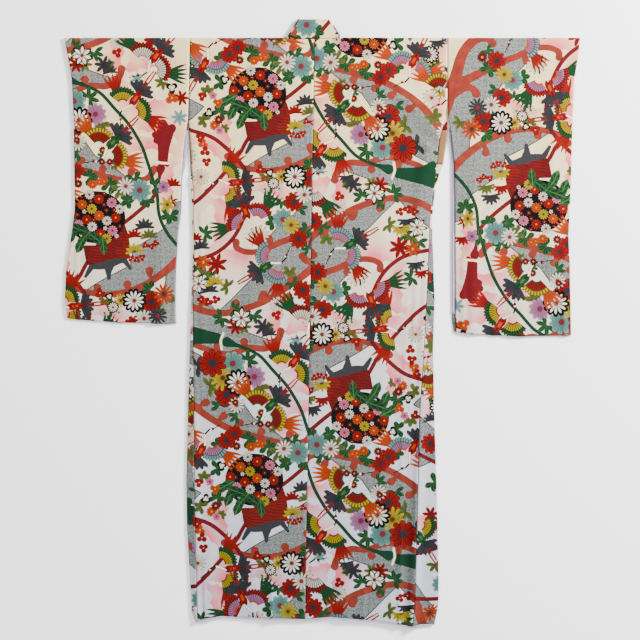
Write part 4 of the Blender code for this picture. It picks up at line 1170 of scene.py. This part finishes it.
def shapeInk():
    # a node group that paints one layer of flowers, leaves and feathers. A petal's edge lies at
    # inner + (1 - inner) * (1 - t^round), where t is 0 on a petal's middle line and 1 between two
    mostPetals, mostRound = shapeLook["mostPetals"], shapeLook["mostRound"]
    group = bpy.data.node_groups.new("printed_shape", "ShaderNodeTree")
    for name, kind in (("frame", "Vector"), ("look", "Float"), ("ground", "Color")):
        group.interface.new_socket(name=name, in_out="INPUT", socket_type=f"NodeSocket{kind}")
    group.interface.new_socket(name="painted", in_out="OUTPUT", socket_type="NodeSocketColor")
    ink = Ink(group)
    place = ink.node("NodeGroupInput")
    look, ground = place.other(1), place.other(2)
    x, y, kind = place.split()
    kinds, looks = list(shapeKinds.values()), list(colourings.values())
    shape = kind.ramp([(row[0] / mostPetals, row[1], row[2] / mostRound, row[3]) for row in kinds])
    petals, inner, power = shape.split()
    petal, heart, tip, line = (look.ramp([dyed(row[part]) for row in looks]) for part in range(4))
    sizes = look.ramp([row[4:8] for row in looks])
    heartSize, tipStart, between = sizes.split()
    rim, hollow, _ = look.ramp([(row[8], isOpen(name), 0, 1) for name, row in colourings.items()]).split()
    radius = (x * x + y * y) ** 0.5
    angle = y.math("ARCTAN2", x)
    turned = angle * petals * (mostPetals / (2 * math.pi))
    off = abs(turned - turned.math("ROUND")) * 2

    def edgeAt(off):
        return inner + (1 - inner) * (1 - off ** (power * mostRound))

    share = radius / edgeAt(off)
    within = radius / edgeAt((off * (1 + rim * shapeLook["rimSlant"])).math("MINIMUM", 1.0))
    inside = (share < 1) * (abs(angle) < shape.other(1) * math.pi + shapeLook["slack"])
    inside = inside * (1 - hollow * (share < heartSize))
    outer = share > heartSize + hollow * shapeLook["open"]
    parting = (1 - off < between) * (petals > 2.5 / mostPetals)
    tipLine = hollow * (abs(share - tipStart) < shapeLook["tipLine"])
    veins = outer * (parting + (off * radius < sizes.other(1)) + tipLine)
    along, across, level = shapeLook["ribs"]
    leaf = (petals < 2.5 / mostPetals) * (petals > 1.5 / mostPetals)
    ribs = ((x * along + abs(y) * across).wave() > level) * leaf
    painted = petal.mix(tip, share > tipStart).shade(1 - share, shapeLook["heartShade"])
    painted = painted.mix(line, ribs * shapeLook["ribsShown"])
    painted = painted.mix(line, veins.math("MINIMUM", 1.0) * shapeLook["veinsShown"])
    painted = heart.mix(painted, outer).mix(line, (within > 1 - rim) * shapeLook["rimShown"])
    ink.node("NodeGroupOutput", None, {0: ground.mix(painted, inside)})
    return group


def silkPrint(ink, place):
    # the whole print, painted from the ground up

    def dye(name):
        return dyed(silkLook[name])

    def below(height, start, over):
        # grows from 0 at a height to 1 over some way down; a mix keeps it within 0 and 1
        return (start - height) / over

    u, v, _ = place.split()
    u, v = u / printDrawing["centimetre"], v / printDrawing["centimetre"]
    height = ink.node("ShaderNodeTexCoord", None, None, 3).split()[1]
    wash, fine, grain = (ink.noise(place, *silkLook[name]) for name in ("wash", "fine", "grain"))
    field, band, tub = ink.attribute("mist").split()
    crimson, green, charcoal = ink.attribute("cords").split()
    edge, glow, _ = ink.attribute("cloud").split()

    # ground, with painted shade towards the hem, and its pink clouds
    colour = ink.mixed(dye("cream"), dye("hemShadeGround"), below(height, *silkLook["hemShadeFrom"]))
    colour = colour.mix(dye("pink"), glow * (edge > 0) * silkLook["figured"])

    # dotted mist and the bands along it
    pitch = 2 * math.pi / silkLook["dotPitch"]
    slant = silkLook["dotSlant"]
    rows, columns = ((way * pitch * slant).math("COSINE") for way in (u + v, u - v))
    dots = rows * columns > silkLook["dotLevel"] - grain * silkLook["dotGrain"]
    dotted = ink.mixed(dye("fieldLight"), dye("fieldDot"), dots * silkLook["figured"])
    gain, level, shown = silkLook["fieldStains"]
    colour = colour.mix(dotted.shade(grain.spread(gain, level), shown), field > 0)
    colour = colour.mix(dye("fieldLine"), abs(field) < silkLook["fieldLineHalf"])
    terracotta = ink.mixed(dye("terracotta"), dye("terracottaDeep"), wash.spread(*silkLook["bandStains"]))
    turns, bent, level, shown = silkLook["speckles"]
    speckle = (u * turns + wash * bent).wave() * (v * turns - wash * bent).wave() > level
    terracotta = terracotta.mix(dye("fieldLight"), speckle * shown)
    rim, shown = silkLook["bandRim"]
    terracotta = terracotta.mix(dye("terracottaDeep"), (band < rim - silkLook["bandGrown"]) * shown)
    colour = colour.mix(terracotta, band > -silkLook["bandGrown"])

    # cords, the tub with its brushed lines, and its feet
    across, along, turns, level, shown = silkLook["strands"]
    strand = ((u * across + v * along) * turns).wave() > level
    for depth, name in ((green, "green"), (crimson, "crimson")):
        cord = ink.mixed(dye(name), dye(f"{name}Line"), strand * shown)
        colour = colour.mix(cord.shade(depth < silkLook["cordEdge"], silkLook["cordEdgeShade"]), depth > 0)
    turns, bent, high, uneven = silkLook["hatchBows"]
    bows = (u * turns + wash * bent).wave() * high + wash.spread(uneven, 0)
    across, along, level, shown = silkLook["hatch"]
    hatch = (v * along + u * across + bows).wave() > level
    across, along, uneven, level, light = silkLook["warmSide"]
    warm = u * across - v * along + wash.spread(uneven, 0) > level
    brick = ink.mixed(dye("brick"), dye("brickLight"), warm * light).mix(dye("brickLine"), hatch * shown)
    colour = colour.mix(brick.mix(dye("brickLine"), tub < silkLook["cordEdge"]), tub > 0)
    dark = [(1 - silkLook["charcoalShade"]) * part for part in dye("charcoal")[:3]]
    colour = colour.mix(ink.mixed(dye("charcoal"), (*dark, 1.0), grain), charcoal > 0)

    # flowers, leaves and cranes, layer by layer, and thin lines over them
    layerInk = shapeInk()
    for number in range(printDrawing["layers"]):
        drawn = ink.attribute(f"drawn_{number}")
        sockets = {"frame": drawn, "look": drawn.other(3), "ground": colour}
        colour = ink.node("ShaderNodeGroup", {"node_tree": layerInk}, sockets)
    off, half, kind = ink.attribute("lines").split()
    line = kind.ramp([dyed(value) for value in lineColours.values()])
    rim, shown = silkLook["lineRim"]
    colour = colour.mix(line.mix(dye("fieldLine"), (abs(off) > half * rim) * shown), abs(off) < half)

    # painted shade, darker towards the hem, and unevenness of the dye
    colour = colour.shade(below(height, *silkLook["lowFrom"]), *silkLook["lowShade"])
    for noise, name in ((wash, "washShade"), (fine, "fineShade")):
        gain, level, shown = silkLook[name]
        colour = colour.shade(noise.spread(gain, level), shown)
    return colour


def silkMaterial(name, painted):
    # crepe silk: matt, with the crinkle of its twisted threads and the ribs of its weave as a bump
    material = bpy.data.materials.new(name)
    material.use_nodes = True
    ink = Ink(material.node_tree)
    place = ink.node("ShaderNodeUVMap", {"uv_map": "bolt"})
    crinkle = ink.noise(place, *silkLook["crinkle"])
    pebbles = ink.noise(place, *silkLook["pebbles"])
    ribs = (place.split()[1] * (2 * math.pi / silkLook["ribPitch"])).wave() * silkLook["ribHeight"]
    height = crinkle + pebbles * silkLook["pebbleHeight"] + ribs
    relief = {"Strength": silkLook["bumpStrength"], "Distance": silkLook["bumpHeight"], "Height": height}
    ink.fill(material.node_tree.nodes["Principled BSDF"], {
        "Base Color": painted(ink, place),
        "Roughness": silkLook["roughness"] + (crinkle - 0.5) * silkLook["roughnessSwing"],
        "Normal": ink.node("ShaderNodeBump", None, relief),
        "Sheen Weight": silkLook["sheen"],
        "Sheen Roughness": silkLook["sheenRoughness"],
        "Specular IOR Level": silkLook["specular"],
    })
    return material


liningLook = {
    "lavender": (168, 158, 190),
    "lavenderDeep": (138, 126, 166),
    # tan: the inner face's aged colour, darkened with painted shade of the side opening
    "tan": (140, 104, 70),
    "tanDeep": (104, 72, 46),
    "streaks": (500.0, 2.0),    # noises: scale and detail
    "mottle": (30.0, 2.0),
    "drawnOut": (1.0, 0.12, 1.0),
    "streakShare": 0.6,
}


def plainSilk(light, deep):
    # one colour with the faint cross streaks of a plain weave
    def painted(ink, place):
        stretched = ink.node("ShaderNodeMapping", None, {"Vector": place, "Scale": liningLook["drawnOut"]})
        streaks = ink.noise(stretched, *liningLook["streaks"])
        mottle = ink.noise(place, *liningLook["mottle"])
        share = liningLook["streakShare"]
        deeper = streaks * share + mottle * (1 - share)
        return ink.mixed(linear(liningLook[light]), linear(liningLook[deep]), deeper)
    return painted


finishes = {
    "printed_silk": silkMaterial("printed_silk_crepe", silkPrint),
    "lavender_lining": silkMaterial("lavender_lining_silk", plainSilk("lavender", "lavenderDeep")),
    # the tan inner face: aged lining colour with painted shade
    "tan_lining": silkMaterial("tan_inner_face_painted_shade", plainSilk("tan", "tanDeep")),
}
print("finishes: printed silk and linings")


# Backs: from the hem up to the neck, over the shoulder and a little way down below

backPanel = {
    "spacing": 0.0034,
    "turnPoints": 7,            # round the fold over the shoulder
    "under": 0.020,             # how far it goes on below the shoulder
    "openingRoom": 0.0022,      # beside the turned front where the side opening ends
    "leastStrip": 0.0012,
    "furrow": 0.0006,           # the cloth dips this much into its seams
    "furrowHalf": 0.0028,
    "outer": 0.32,              # columns are counted from this x
    "sewnEase": (0.050, 0.020), # heights over which room is made for the turned front
    "boltMiddle": {             # the print's middle: x, y, way up and lean
        -1: (-0.1586, 0.5623, 1, 0.008),
        1: (0.0925, -0.2352, -1, 0.0),
    },
    "flat": (0.30, 1.44),
}


def backEdge(side, y):
    # x of the back's own edge, which leaves room for the front's turned strip
    outline = readEdge(bodyEdges[side], y)
    edge = readEdge(bodyEdges[side], y, 2)
    closed, opened = layers["seamClosed"], layers["seamOpen"]
    over, past = backPanel["sewnEase"]
    room = backPanel["leastStrip"] + backPanel["openingRoom"] * ease(y, closed - over, closed)
    turned = layers["cloth"] / 2 + foldRadius(side, outline, y) + room
    least = outline - side * turned * ease(y, opened + past, opened)
    return side * np.minimum(side * edge, side * least)


def furrow(edge):
    # how far the cloth dips at this distance from a seam: deepest * exp(-(distance / half width)^2)
    return backPanel["furrow"] * np.exp(-((edge / backPanel["furrowHalf"]) ** 2))


def boltPlace(piece, side, x, y):
    # place on the bolt: from the print's middle, upright or turned half round, leaning a little
    middleX, middleY, way, lean = piece["boltMiddle"][side]
    return way * (x - middleX - lean * (y - middleY)), way * (y - middleY)


def backSheet(side):
    # x runs from the side edge to the neck and on to the centre seam, y from the shoulder to the hem,
    # z is the upper layer; the fold is a half circle down to the front, and then z is the front's
    low = panelLow(side)
    share = fromTo(layers["shoulder"], low, backPanel["spacing"])[:, None]
    nominal = blend(layers["shoulder"], low, share)
    outer = backEdge(side, nominal)
    seamY = blend(layers["neck"], hemY(centreX(nominal)), share)
    seam = centreX(seamY) + side * layers["seamGap"] / 2
    neck = neckX(side)
    shoulderShare = fromTo(side * backPanel["outer"], neck, backPanel["spacing"])[None, :]
    neckShare = fromTo(neck, centreX(0.0), backPanel["spacing"])[None, 1:]
    x = np.hstack([blend(outer, neck, shoulderShare), blend(neck, seam, neckShare)])
    onShoulder = np.arange(x.shape[1]) < shoulderShare.size
    top = np.where(onShoulder, shoulderTop(side, x), layers["neck"])
    y = blend(top, hemY(x), share)
    z = topHeight(x, y) - furrow(np.minimum(np.abs(x - seam), np.abs(x - outer)))
    u, v = boltPlace(backPanel, side, x, y)
    cloth = Cloth().grid(x, y, z, u, v)
    cloth.hem = np.stack([x[-1], y[-1], z[-1]], axis=-1)
    way = backPanel["boltMiddle"][side][2]
    x0, y0, z0, u0, v0 = (value[0, :shoulderShare.size] for value in (x, y, z, u, v))
    lowZ = frontHeight(side, x0)
    fold, length = halfRound((x0, y0, z0), (x0, y0, lowZ), 0.0, 1.0, backPanel["turnPoints"])
    arc = v0 + way * length
    cloth.grid(*fold, u0, arc)
    down = np.linspace(0.0, backPanel["under"], backPanel["turnPoints"])[:, None]
    return cloth.grid(x0, y0 - down, lowZ, u0, arc[-1] + way * down)


# Fronts: they lie below, come round the side edge and show as a strip at the side seam

frontPanel = {
    "width": 0.240,
    "spacing": 0.0052,          # of the flat part
    "columns": (0.30, 0.06),    # they are counted between these x
    "sewnOver": 0.012,          # height over which the strip comes to lie on the seam
    "tailOver": 0.004,          # length over which it takes up the folds of the upper layer
    "arcPoints": 7,
    "stripPoints": {-1: 5, 1: 15},
    "belowBack": 0.0025,        # starts this far below the back's end
    "pastTurn": 4,              # the hem's lining follows this many points past the turned strip
    "overlapTop": 0.468,        # upper point of the overlap panel
    "neckSlant": 0.0065,
    "flat": (0.26, 1.42),
}


def frontEdge(side, y):
    # the front's inner edge: the neck line down to the overlap's point, then the overlap's seam
    low = panelLow(side)
    topX = neckX(side)
    pointX = topX - side * frontPanel["neckSlant"]
    pointY = frontPanel["overlapTop"]
    neckLine = blend(topX, pointX, (layers["shoulder"] - y) / (layers["shoulder"] - pointY))
    outline = readEdge(bodyEdges[side], low)
    turned = abs(outline - readEdge(bodyEdges[side], low, 2))
    seamX = outline - side * (frontPanel["width"] - turned)
    return np.where(y > pointY, neckLine, blend(pointX, seamX, (pointY - y) / (pointY - low)))


def placeY(x, y, low):
    # stretches a row so that the lowest one lies on the hem
    top = layers["shoulder"]
    return top + (hemY(x) - top) * (top - y) / (top - low)


def frontSheet(side):
    # one profile for each height: flat, a half circle round the side edge where the seam is closed,
    # and a tail back over it as far as the seam; u is the length along that profile
    low = panelLow(side)
    top = layers["shoulder"] - backPanel["under"] - frontPanel["belowBack"]
    y = rowsFromTo(top, low, frontPanel["spacing"])
    outline = readEdge(bodyEdges[side], y)
    radius = foldRadius(side, outline - side * layers["cloth"], y)
    closed = 1 - ease(y, layers["seamClosed"], layers["seamOpen"])
    sewn = ease(y, layers["seamClosed"] + frontPanel["sewnOver"], layers["seamClosed"])
    turn = math.pi * closed
    around = radius * math.pi
    flatEnd = outline - side * (layers["cloth"] / 2 + radius)
    seamX = backEdge(side, y) + side * layers["sideGap"]
    tail = blend(backPanel["leastStrip"], np.abs(flatEnd - seamX), sewn)
    arc = np.linspace(0.0, 1.0, frontPanel["arcPoints"] + 2)[None, :]
    along = np.linspace(0.0, 1.0, frontPanel["stripPoints"][side] + 1)[None, 1:]
    step = np.hstack([around * arc, around + tail * along])
    bent = np.minimum(step, radius * turn)
    straight = step - bent
    out = radius * np.sin(bent / radius) + straight * np.cos(turn)
    up = radius - radius * np.cos(bent / radius) + straight * np.sin(turn)
    reach = out.max(axis=1, keepdims=True) + layers["cloth"] / 2 * np.sin(turn / 2)
    stripX = outline + side * (out - reach)
    onTail = sewn * ease(step - around, 0.0, frontPanel["tailOver"])
    stripZ = blend(layers["low"] + up, topHeight(stripX, y), onTail)
    inner = frontEdge(side, y) + side * layers["seamGap"]
    flatShare = fromTo(*frontPanel["columns"], frontPanel["spacing"])[None, 1:]
    flatX = blend(stripX[:, :1], inner, flatShare)
    x = np.hstack([stripX[:, ::-1], flatX])
    z = np.hstack([stripZ[:, ::-1], frontHeight(side, flatX)])
    pointY = placeY(x, y, low)
    middleX, middleY, way, _ = backPanel["boltMiddle"][side]
    onBolt = np.hstack([(stripX[:, :1] + side * step)[:, ::-1], flatX])
    v = way * (2 * layers["shoulder"] - pointY - middleY)
    cloth = Cloth().grid(x, pointY, z, way * (onBolt - middleX), v)
    strip = slice(frontPanel["stripPoints"][side] + frontPanel["pastTurn"])
    cloth.hem = np.stack([x[-1, strip], pointY[-1, strip], z[-1, strip]], axis=-1)
    return cloth


# Overlap panels, sewn to the fronts and hidden by the backs

overlapPanel = {
    "width": 0.150,
    "collarEnd": -0.100,
    "blunt": 0.020,             # its point is cut off this far down
    "spacing": 0.0056,
    "boltShift": (0.05, 0.31),
    "flat": (0.15, 1.17),
    "area": 0.135,
}


def overlapWidth(y):
    # full width below the collar's end, narrowing to a point above it
    top = frontPanel["overlapTop"]
    return overlapPanel["width"] * np.minimum(1.0, (top - y) / (top - overlapPanel["collarEnd"]))


def overlapSheet(side):
    # x runs from the front's seam inwards over the panel's width at each height
    low = panelLow(side)
    top = frontPanel["overlapTop"] - overlapPanel["blunt"]
    y = rowsFromTo(top, low, overlapPanel["spacing"])
    across = fromTo(0.0, overlapPanel["width"], overlapPanel["spacing"])[None, :]
    x = frontEdge(side, y) - side * overlapWidth(y) * across
    pointY = placeY(x, y, low)
    shiftX, shiftY = overlapPanel["boltShift"]
    return Cloth().grid(x, pointY, frontHeight(side, x), x + side * shiftX, pointY + shiftY)


# Collar: a doubled band up the left front, behind the neck and down the right front

collarBand = {
    "width": 0.055,
    "rise": 0.0441,             # beyond the shoulder
    "topHalf": 0.0355,
    "lean": 0.100,              # it turns from the neck to the front within this
    "turnIn": 0.0045,
    "turnUp": 0.0015,
    "firstRow": 0.688,
    "spacing": 0.0040,
    "acrossPoints": 14,
    "turnPoints": 7,
    "neckPoints": 44,
    "endPart": 6,               # its seam comes down to the neck in this part of the length
    "swell": 0.0006,            # how far its middle stands up
    "boltShift": (0.140, 0.045),
    "flat": (0.055, 1.78),
}


def collarTurn(side):
    # seam end and free end of the line where the collar turns over the shoulder
    centre = float(centreX(layers["shoulder"]))
    base = (neckX(side) - side * collarBand["turnIn"], layers["shoulder"] + collarBand["turnUp"])
    return base, (centre + side * collarBand["topHalf"], layers["shoulder"] + collarBand["rise"])


def collarSheet():
    # across runs from the seam to the free edge; the front stretches follow the neck line and the
    # overlap's edge, the back stretch reaches beyond the shoulders, and half circles join them
    cloth = Cloth()
    share = np.linspace(0.0, 1.0, collarBand["acrossPoints"] + 1)[None, :]
    halfWall = (layers["collarWall"] - layers["cloth"]) / 2
    shiftU, shiftV = collarBand["boltShift"]
    (leftBase, leftTop), (rightBase, rightTop) = collarTurn(-1), collarTurn(1)
    along = np.linspace(0.0, 1.0, collarBand["neckPoints"] + 1)[:, None]
    toEnd = np.clip(1 - collarBand["endPart"] * np.minimum(along, 1 - along), 0.0, 1.0)
    seamX = blend(leftBase[0], rightBase[0], along)
    seamY = blend(layers["neck"] + layers["seamGap"], leftBase[1], toEnd)
    freeX = blend(leftTop[0], rightTop[0], along)
    seamZ = blend(topHeight(seamX, seamY, 0.0) + halfWall, layers["collarHigh"], toEnd)
    x, y = blend(seamX, freeX, share), blend(seamY, leftTop[1], share)
    swell = collarBand["swell"] * np.sin(math.pi * share) * np.sin(math.pi * along)
    z = blend(seamZ, layers["collarHigh"], np.minimum(1.0, share * 2)) + swell
    centre = centreX(layers["shoulder"])
    cloth.grid(x, y, z, shiftU - (y - layers["neck"]), shiftV - (x - centre))
    start, end = collarBand["firstRow"], overlapPanel["collarEnd"]
    nominal = rowsFromTo(start, end, collarBand["spacing"])
    for side, edge in ((-1, 0), (1, -1)):
        low = panelLow(side)
        base, top = collarTurn(side)
        onOverlap = nominal < frontPanel["overlapTop"]
        seam = frontEdge(side, nominal)
        seam = np.where(onOverlap, seam - side * (overlapWidth(nominal) + layers["seamGap"]), seam)
        lean = ease(nominal, layers["shoulder"] - collarBand["lean"], layers["shoulder"])
        free = seam - side * blend(collarBand["width"], abs(top[0] - base[0]), lean)
        lineY = placeY(seam, nominal, low)
        seam = np.vstack([[[base[0]]], seam])
        free = np.vstack([[[top[0]]], free])
        freeY = np.vstack([[[top[1]]], lineY + collarBand["rise"] * lean])
        lineY = np.vstack([[[base[1]]], lineY])
        frontX, frontY = blend(seam, free, share), blend(lineY, freeY, share)
        frontZ = frontHeight(side, frontX) + halfWall
        endV = shiftV - side * abs(base[0] - float(centre))
        frontV = endV - side * (lineY[0] - lineY)
        cloth.grid(frontX, frontY, frontZ, shiftU - share * collarBand["width"], frontV)
        tilt = math.atan2(abs(base[0] - top[0]), collarBand["rise"])
        upper = np.stack([x[edge], y[edge], z[edge]])
        lower = np.stack([frontX[0], frontY[0], frontZ[0]])
        out = side * math.cos(tilt), math.sin(tilt)
        turned, _ = halfRound(upper, lower, *out, collarBand["turnPoints"])
        cloth.grid(*turned, shiftU - share * collarBand["width"], endV)
    return cloth


# Sleeves: flat bags, folded along the top, open at the wrist and towards the body

sleeveBag = {
    "spacing": 0.0033,
    "join": 0.198,              # sewn to the body, down from the shoulder
    "wrist": 0.226,             # open outer edge, down from the shoulder
    "middle": 0.470,
    "columns": (0.33, 0.62),    # they are counted between these x
    "turnPoints": 5,
    "boltMiddle": {
        -1: (-0.5530, 0.2595, 1, 0.0),
        1: (0.5305, 0.2830, -1, 0.0),
    },
    "flat": (0.31, 1.44),
}


def sleeveSheet(side):
    # both layers run from the inner edge to the outer one and from the top fold to the bottom fold;
    # half circles join them along the top, below the wrist opening and along the bottom
    low = readEdge(sleeveBottom[side], side * sleeveBag["middle"])
    top = layers["shoulder"]
    joinY, wristY = top - sleeveBag["join"], top - sleeveBag["wrist"]
    above = rowsFromTo(top, wristY, sleeveBag["spacing"])
    nominal = np.vstack([above, rowsFromTo(wristY, low, sleeveBag["spacing"])[1:]])
    wristRow = above.size - 1
    across = fromTo(*sleeveBag["columns"], sleeveBag["spacing"])[None, :]
    share = (top - nominal) / (top - low)
    outerX = readEdge(sleeveEdges[side], nominal)
    room = layers["cloth"] / 2 + (topHeight(outerX, nominal, 0.0) - layers["low"]) / 2
    outerX = outerX - side * room * ease(nominal, joinY, wristY)
    cloth = Cloth()
    made = {}
    way = sleeveBag["boltMiddle"][side][2]
    for layer, value in (("upper", 3), ("lower", 2)):
        x = blend(readEdge(sleeveEdges[side], nominal, value), outerX, across)
        room = layers["cloth"] / 2 + (topHeight(x, top, 0.0) - layers["low"]) / 2
        y = blend(top - room, readEdge(sleeveBottom[side], x) + room, share)
        dip = furrow(np.abs(x - x[:, :1])) * (nominal > joinY)
        z = topHeight(x, y) - dip if layer == "upper" else layers["low"] + 0.0 * x
        u, v = boltPlace(sleeveBag, side, x, y)
        if layer == "lower":
            v = way * (2 * top - y) - way * sleeveBag["boltMiddle"][side][1]
        made[layer] = (x, y, z, u, v)
        cloth.grid(x, y, z, u, v)

    def bend(rows, columns, outX, outY):
        # half circles between an edge of the upper layer and the same edge of the lower one
        upper = [value[rows, columns] for value in made["upper"]]
        lower = [value[rows, columns] for value in made["lower"]]
        (x, y, z), length = halfRound(upper[:3], lower, outX, outY, sleeveBag["turnPoints"])
        return x, y, z, upper[3] + way * outX * length, upper[4] + way * outY * length

    everything = slice(None)
    cloth.grid(*bend(0, everything, 0.0, 1.0))
    outerFold = bend(slice(wristRow, None), -1, float(side), 0.0)
    cloth.grid(*outerFold)
    bottom = bend(-1, slice(0, -1), 0.0, -1.0)
    cloth.grid(*[np.hstack([a, b[:, -1:]]) for a, b in zip(bottom, outerFold)])
    return cloth


# Linings where they show

liningStrips = {
    "inset": 0.0002,
    "hemRoll": 0.0024,
    "spacing": 0.004,
    "swell": 0.0003,
    "shorter": 12,              # the sleeve's strip ends this part of its length above the bottom
    "columns": 4,
    "openingFrom": 0.470,       # the tan inner face beside the back's free edge: aged lining colour with painted shade
    "openingTo": 0.388,
}


def sleeveLining(side):
    # strip on the lower layer between its own inner edge and the upper layer's
    top = layers["shoulder"]
    low = readEdge(sleeveBottom[side], side * sleeveBag["middle"])
    start = top - sleeveBag["wrist"]
    end = low + (start - low) / liningStrips["shorter"]
    nominal = rowsFromTo(start, end, liningStrips["spacing"])
    share = (top - nominal) / (top - low)
    inner = readEdge(sleeveEdges[side], nominal, 2) + side * liningStrips["inset"]
    upper = readEdge(sleeveEdges[side], nominal, 3) - side * layers["seamGap"]
    x = blend(inner, upper, np.linspace(0.0, 1.0, liningStrips["columns"])[None, :])
    room = layers["cloth"] / 2 + (layers["high"] - layers["low"]) / 2
    y = blend(top - room, readEdge(sleeveBottom[side], x) + room, share)
    return Cloth().grid(x, y, layers["liningHigh"], x, y)


def openingLining(side):
    # strip on the front between the back's free edge and the outline; its tan is the lining's aged colour
    # with painted shade of the opening
    start, end = liningStrips["openingFrom"], liningStrips["openingTo"]
    y = rowsFromTo(start, end, liningStrips["spacing"])
    edge = backEdge(side, y) + side * layers["seamGap"]
    outline = readEdge(bodyEdges[side], y) - side * liningStrips["inset"]
    x = blend(edge, outline, np.linspace(0.0, 1.0, liningStrips["columns"] + 1)[None, :])
    return Cloth().grid(x, y, layers["liningHigh"], x, y)


def hemRoll(line):
    # follows the hem of the back and of the turned strip, and rolls out below it
    share = np.linspace(0.0, 1.0, liningStrips["columns"])[None, :]
    x, y, z = (line[:, axis][:, None] for axis in range(3))
    y = y - layers["seamGap"] - liningStrips["hemRoll"] * share
    return Cloth().grid(x, y, z + liningStrips["swell"] * np.sin(math.pi * share), x, y)


def dress():
    # makes the pieces of each side, and then the collar
    for side, word in leftAndRight:
        backCloth, frontCloth = backSheet(side), frontSheet(side)
        hem = hemRoll(np.vstack([backCloth.hem[::-1], frontCloth.hem]))
        wall, thin, spacing = layers["cloth"], layers["liningWall"], liningStrips["spacing"]
        pieces = (               # name, node, cloth, slot, wall, size of its squares
            ("back_panel", "body", backCloth, "printed_silk", wall, backPanel["spacing"]),
            ("front_panel", "body", frontCloth, "printed_silk", wall, frontPanel["spacing"]),
            ("overlap_panel", "okumi", overlapSheet(side), "printed_silk", wall, overlapPanel["spacing"]),
            ("sleeve_bag", "sleeve", sleeveSheet(side), "printed_silk", wall, sleeveBag["spacing"]),
            ("sleeve_inner_lining", "sleeve_lining", sleeveLining(side), "lavender_lining", thin, spacing),
            ("opening_inner_face", "front_lining", openingLining(side), "tan_lining", thin, spacing),
            ("hem_roll", "hem_lining", hem, "lavender_lining", wall, spacing),
        )
        back, front, overlap, sleeve, inner, face, roll = (
            cloth.make(f"{word}_{name}", f"{node}_{word}", *rest) for name, node, cloth, *rest in pieces
        )
        print(f"{word} back, front, overlap, sleeve and linings")
    wall, spacing = layers["collarWall"], collarBand["spacing"]
    collar = collarSheet().make("neck_collar_band", "collar", "printed_silk", wall, spacing)
    print("collar")


dress()
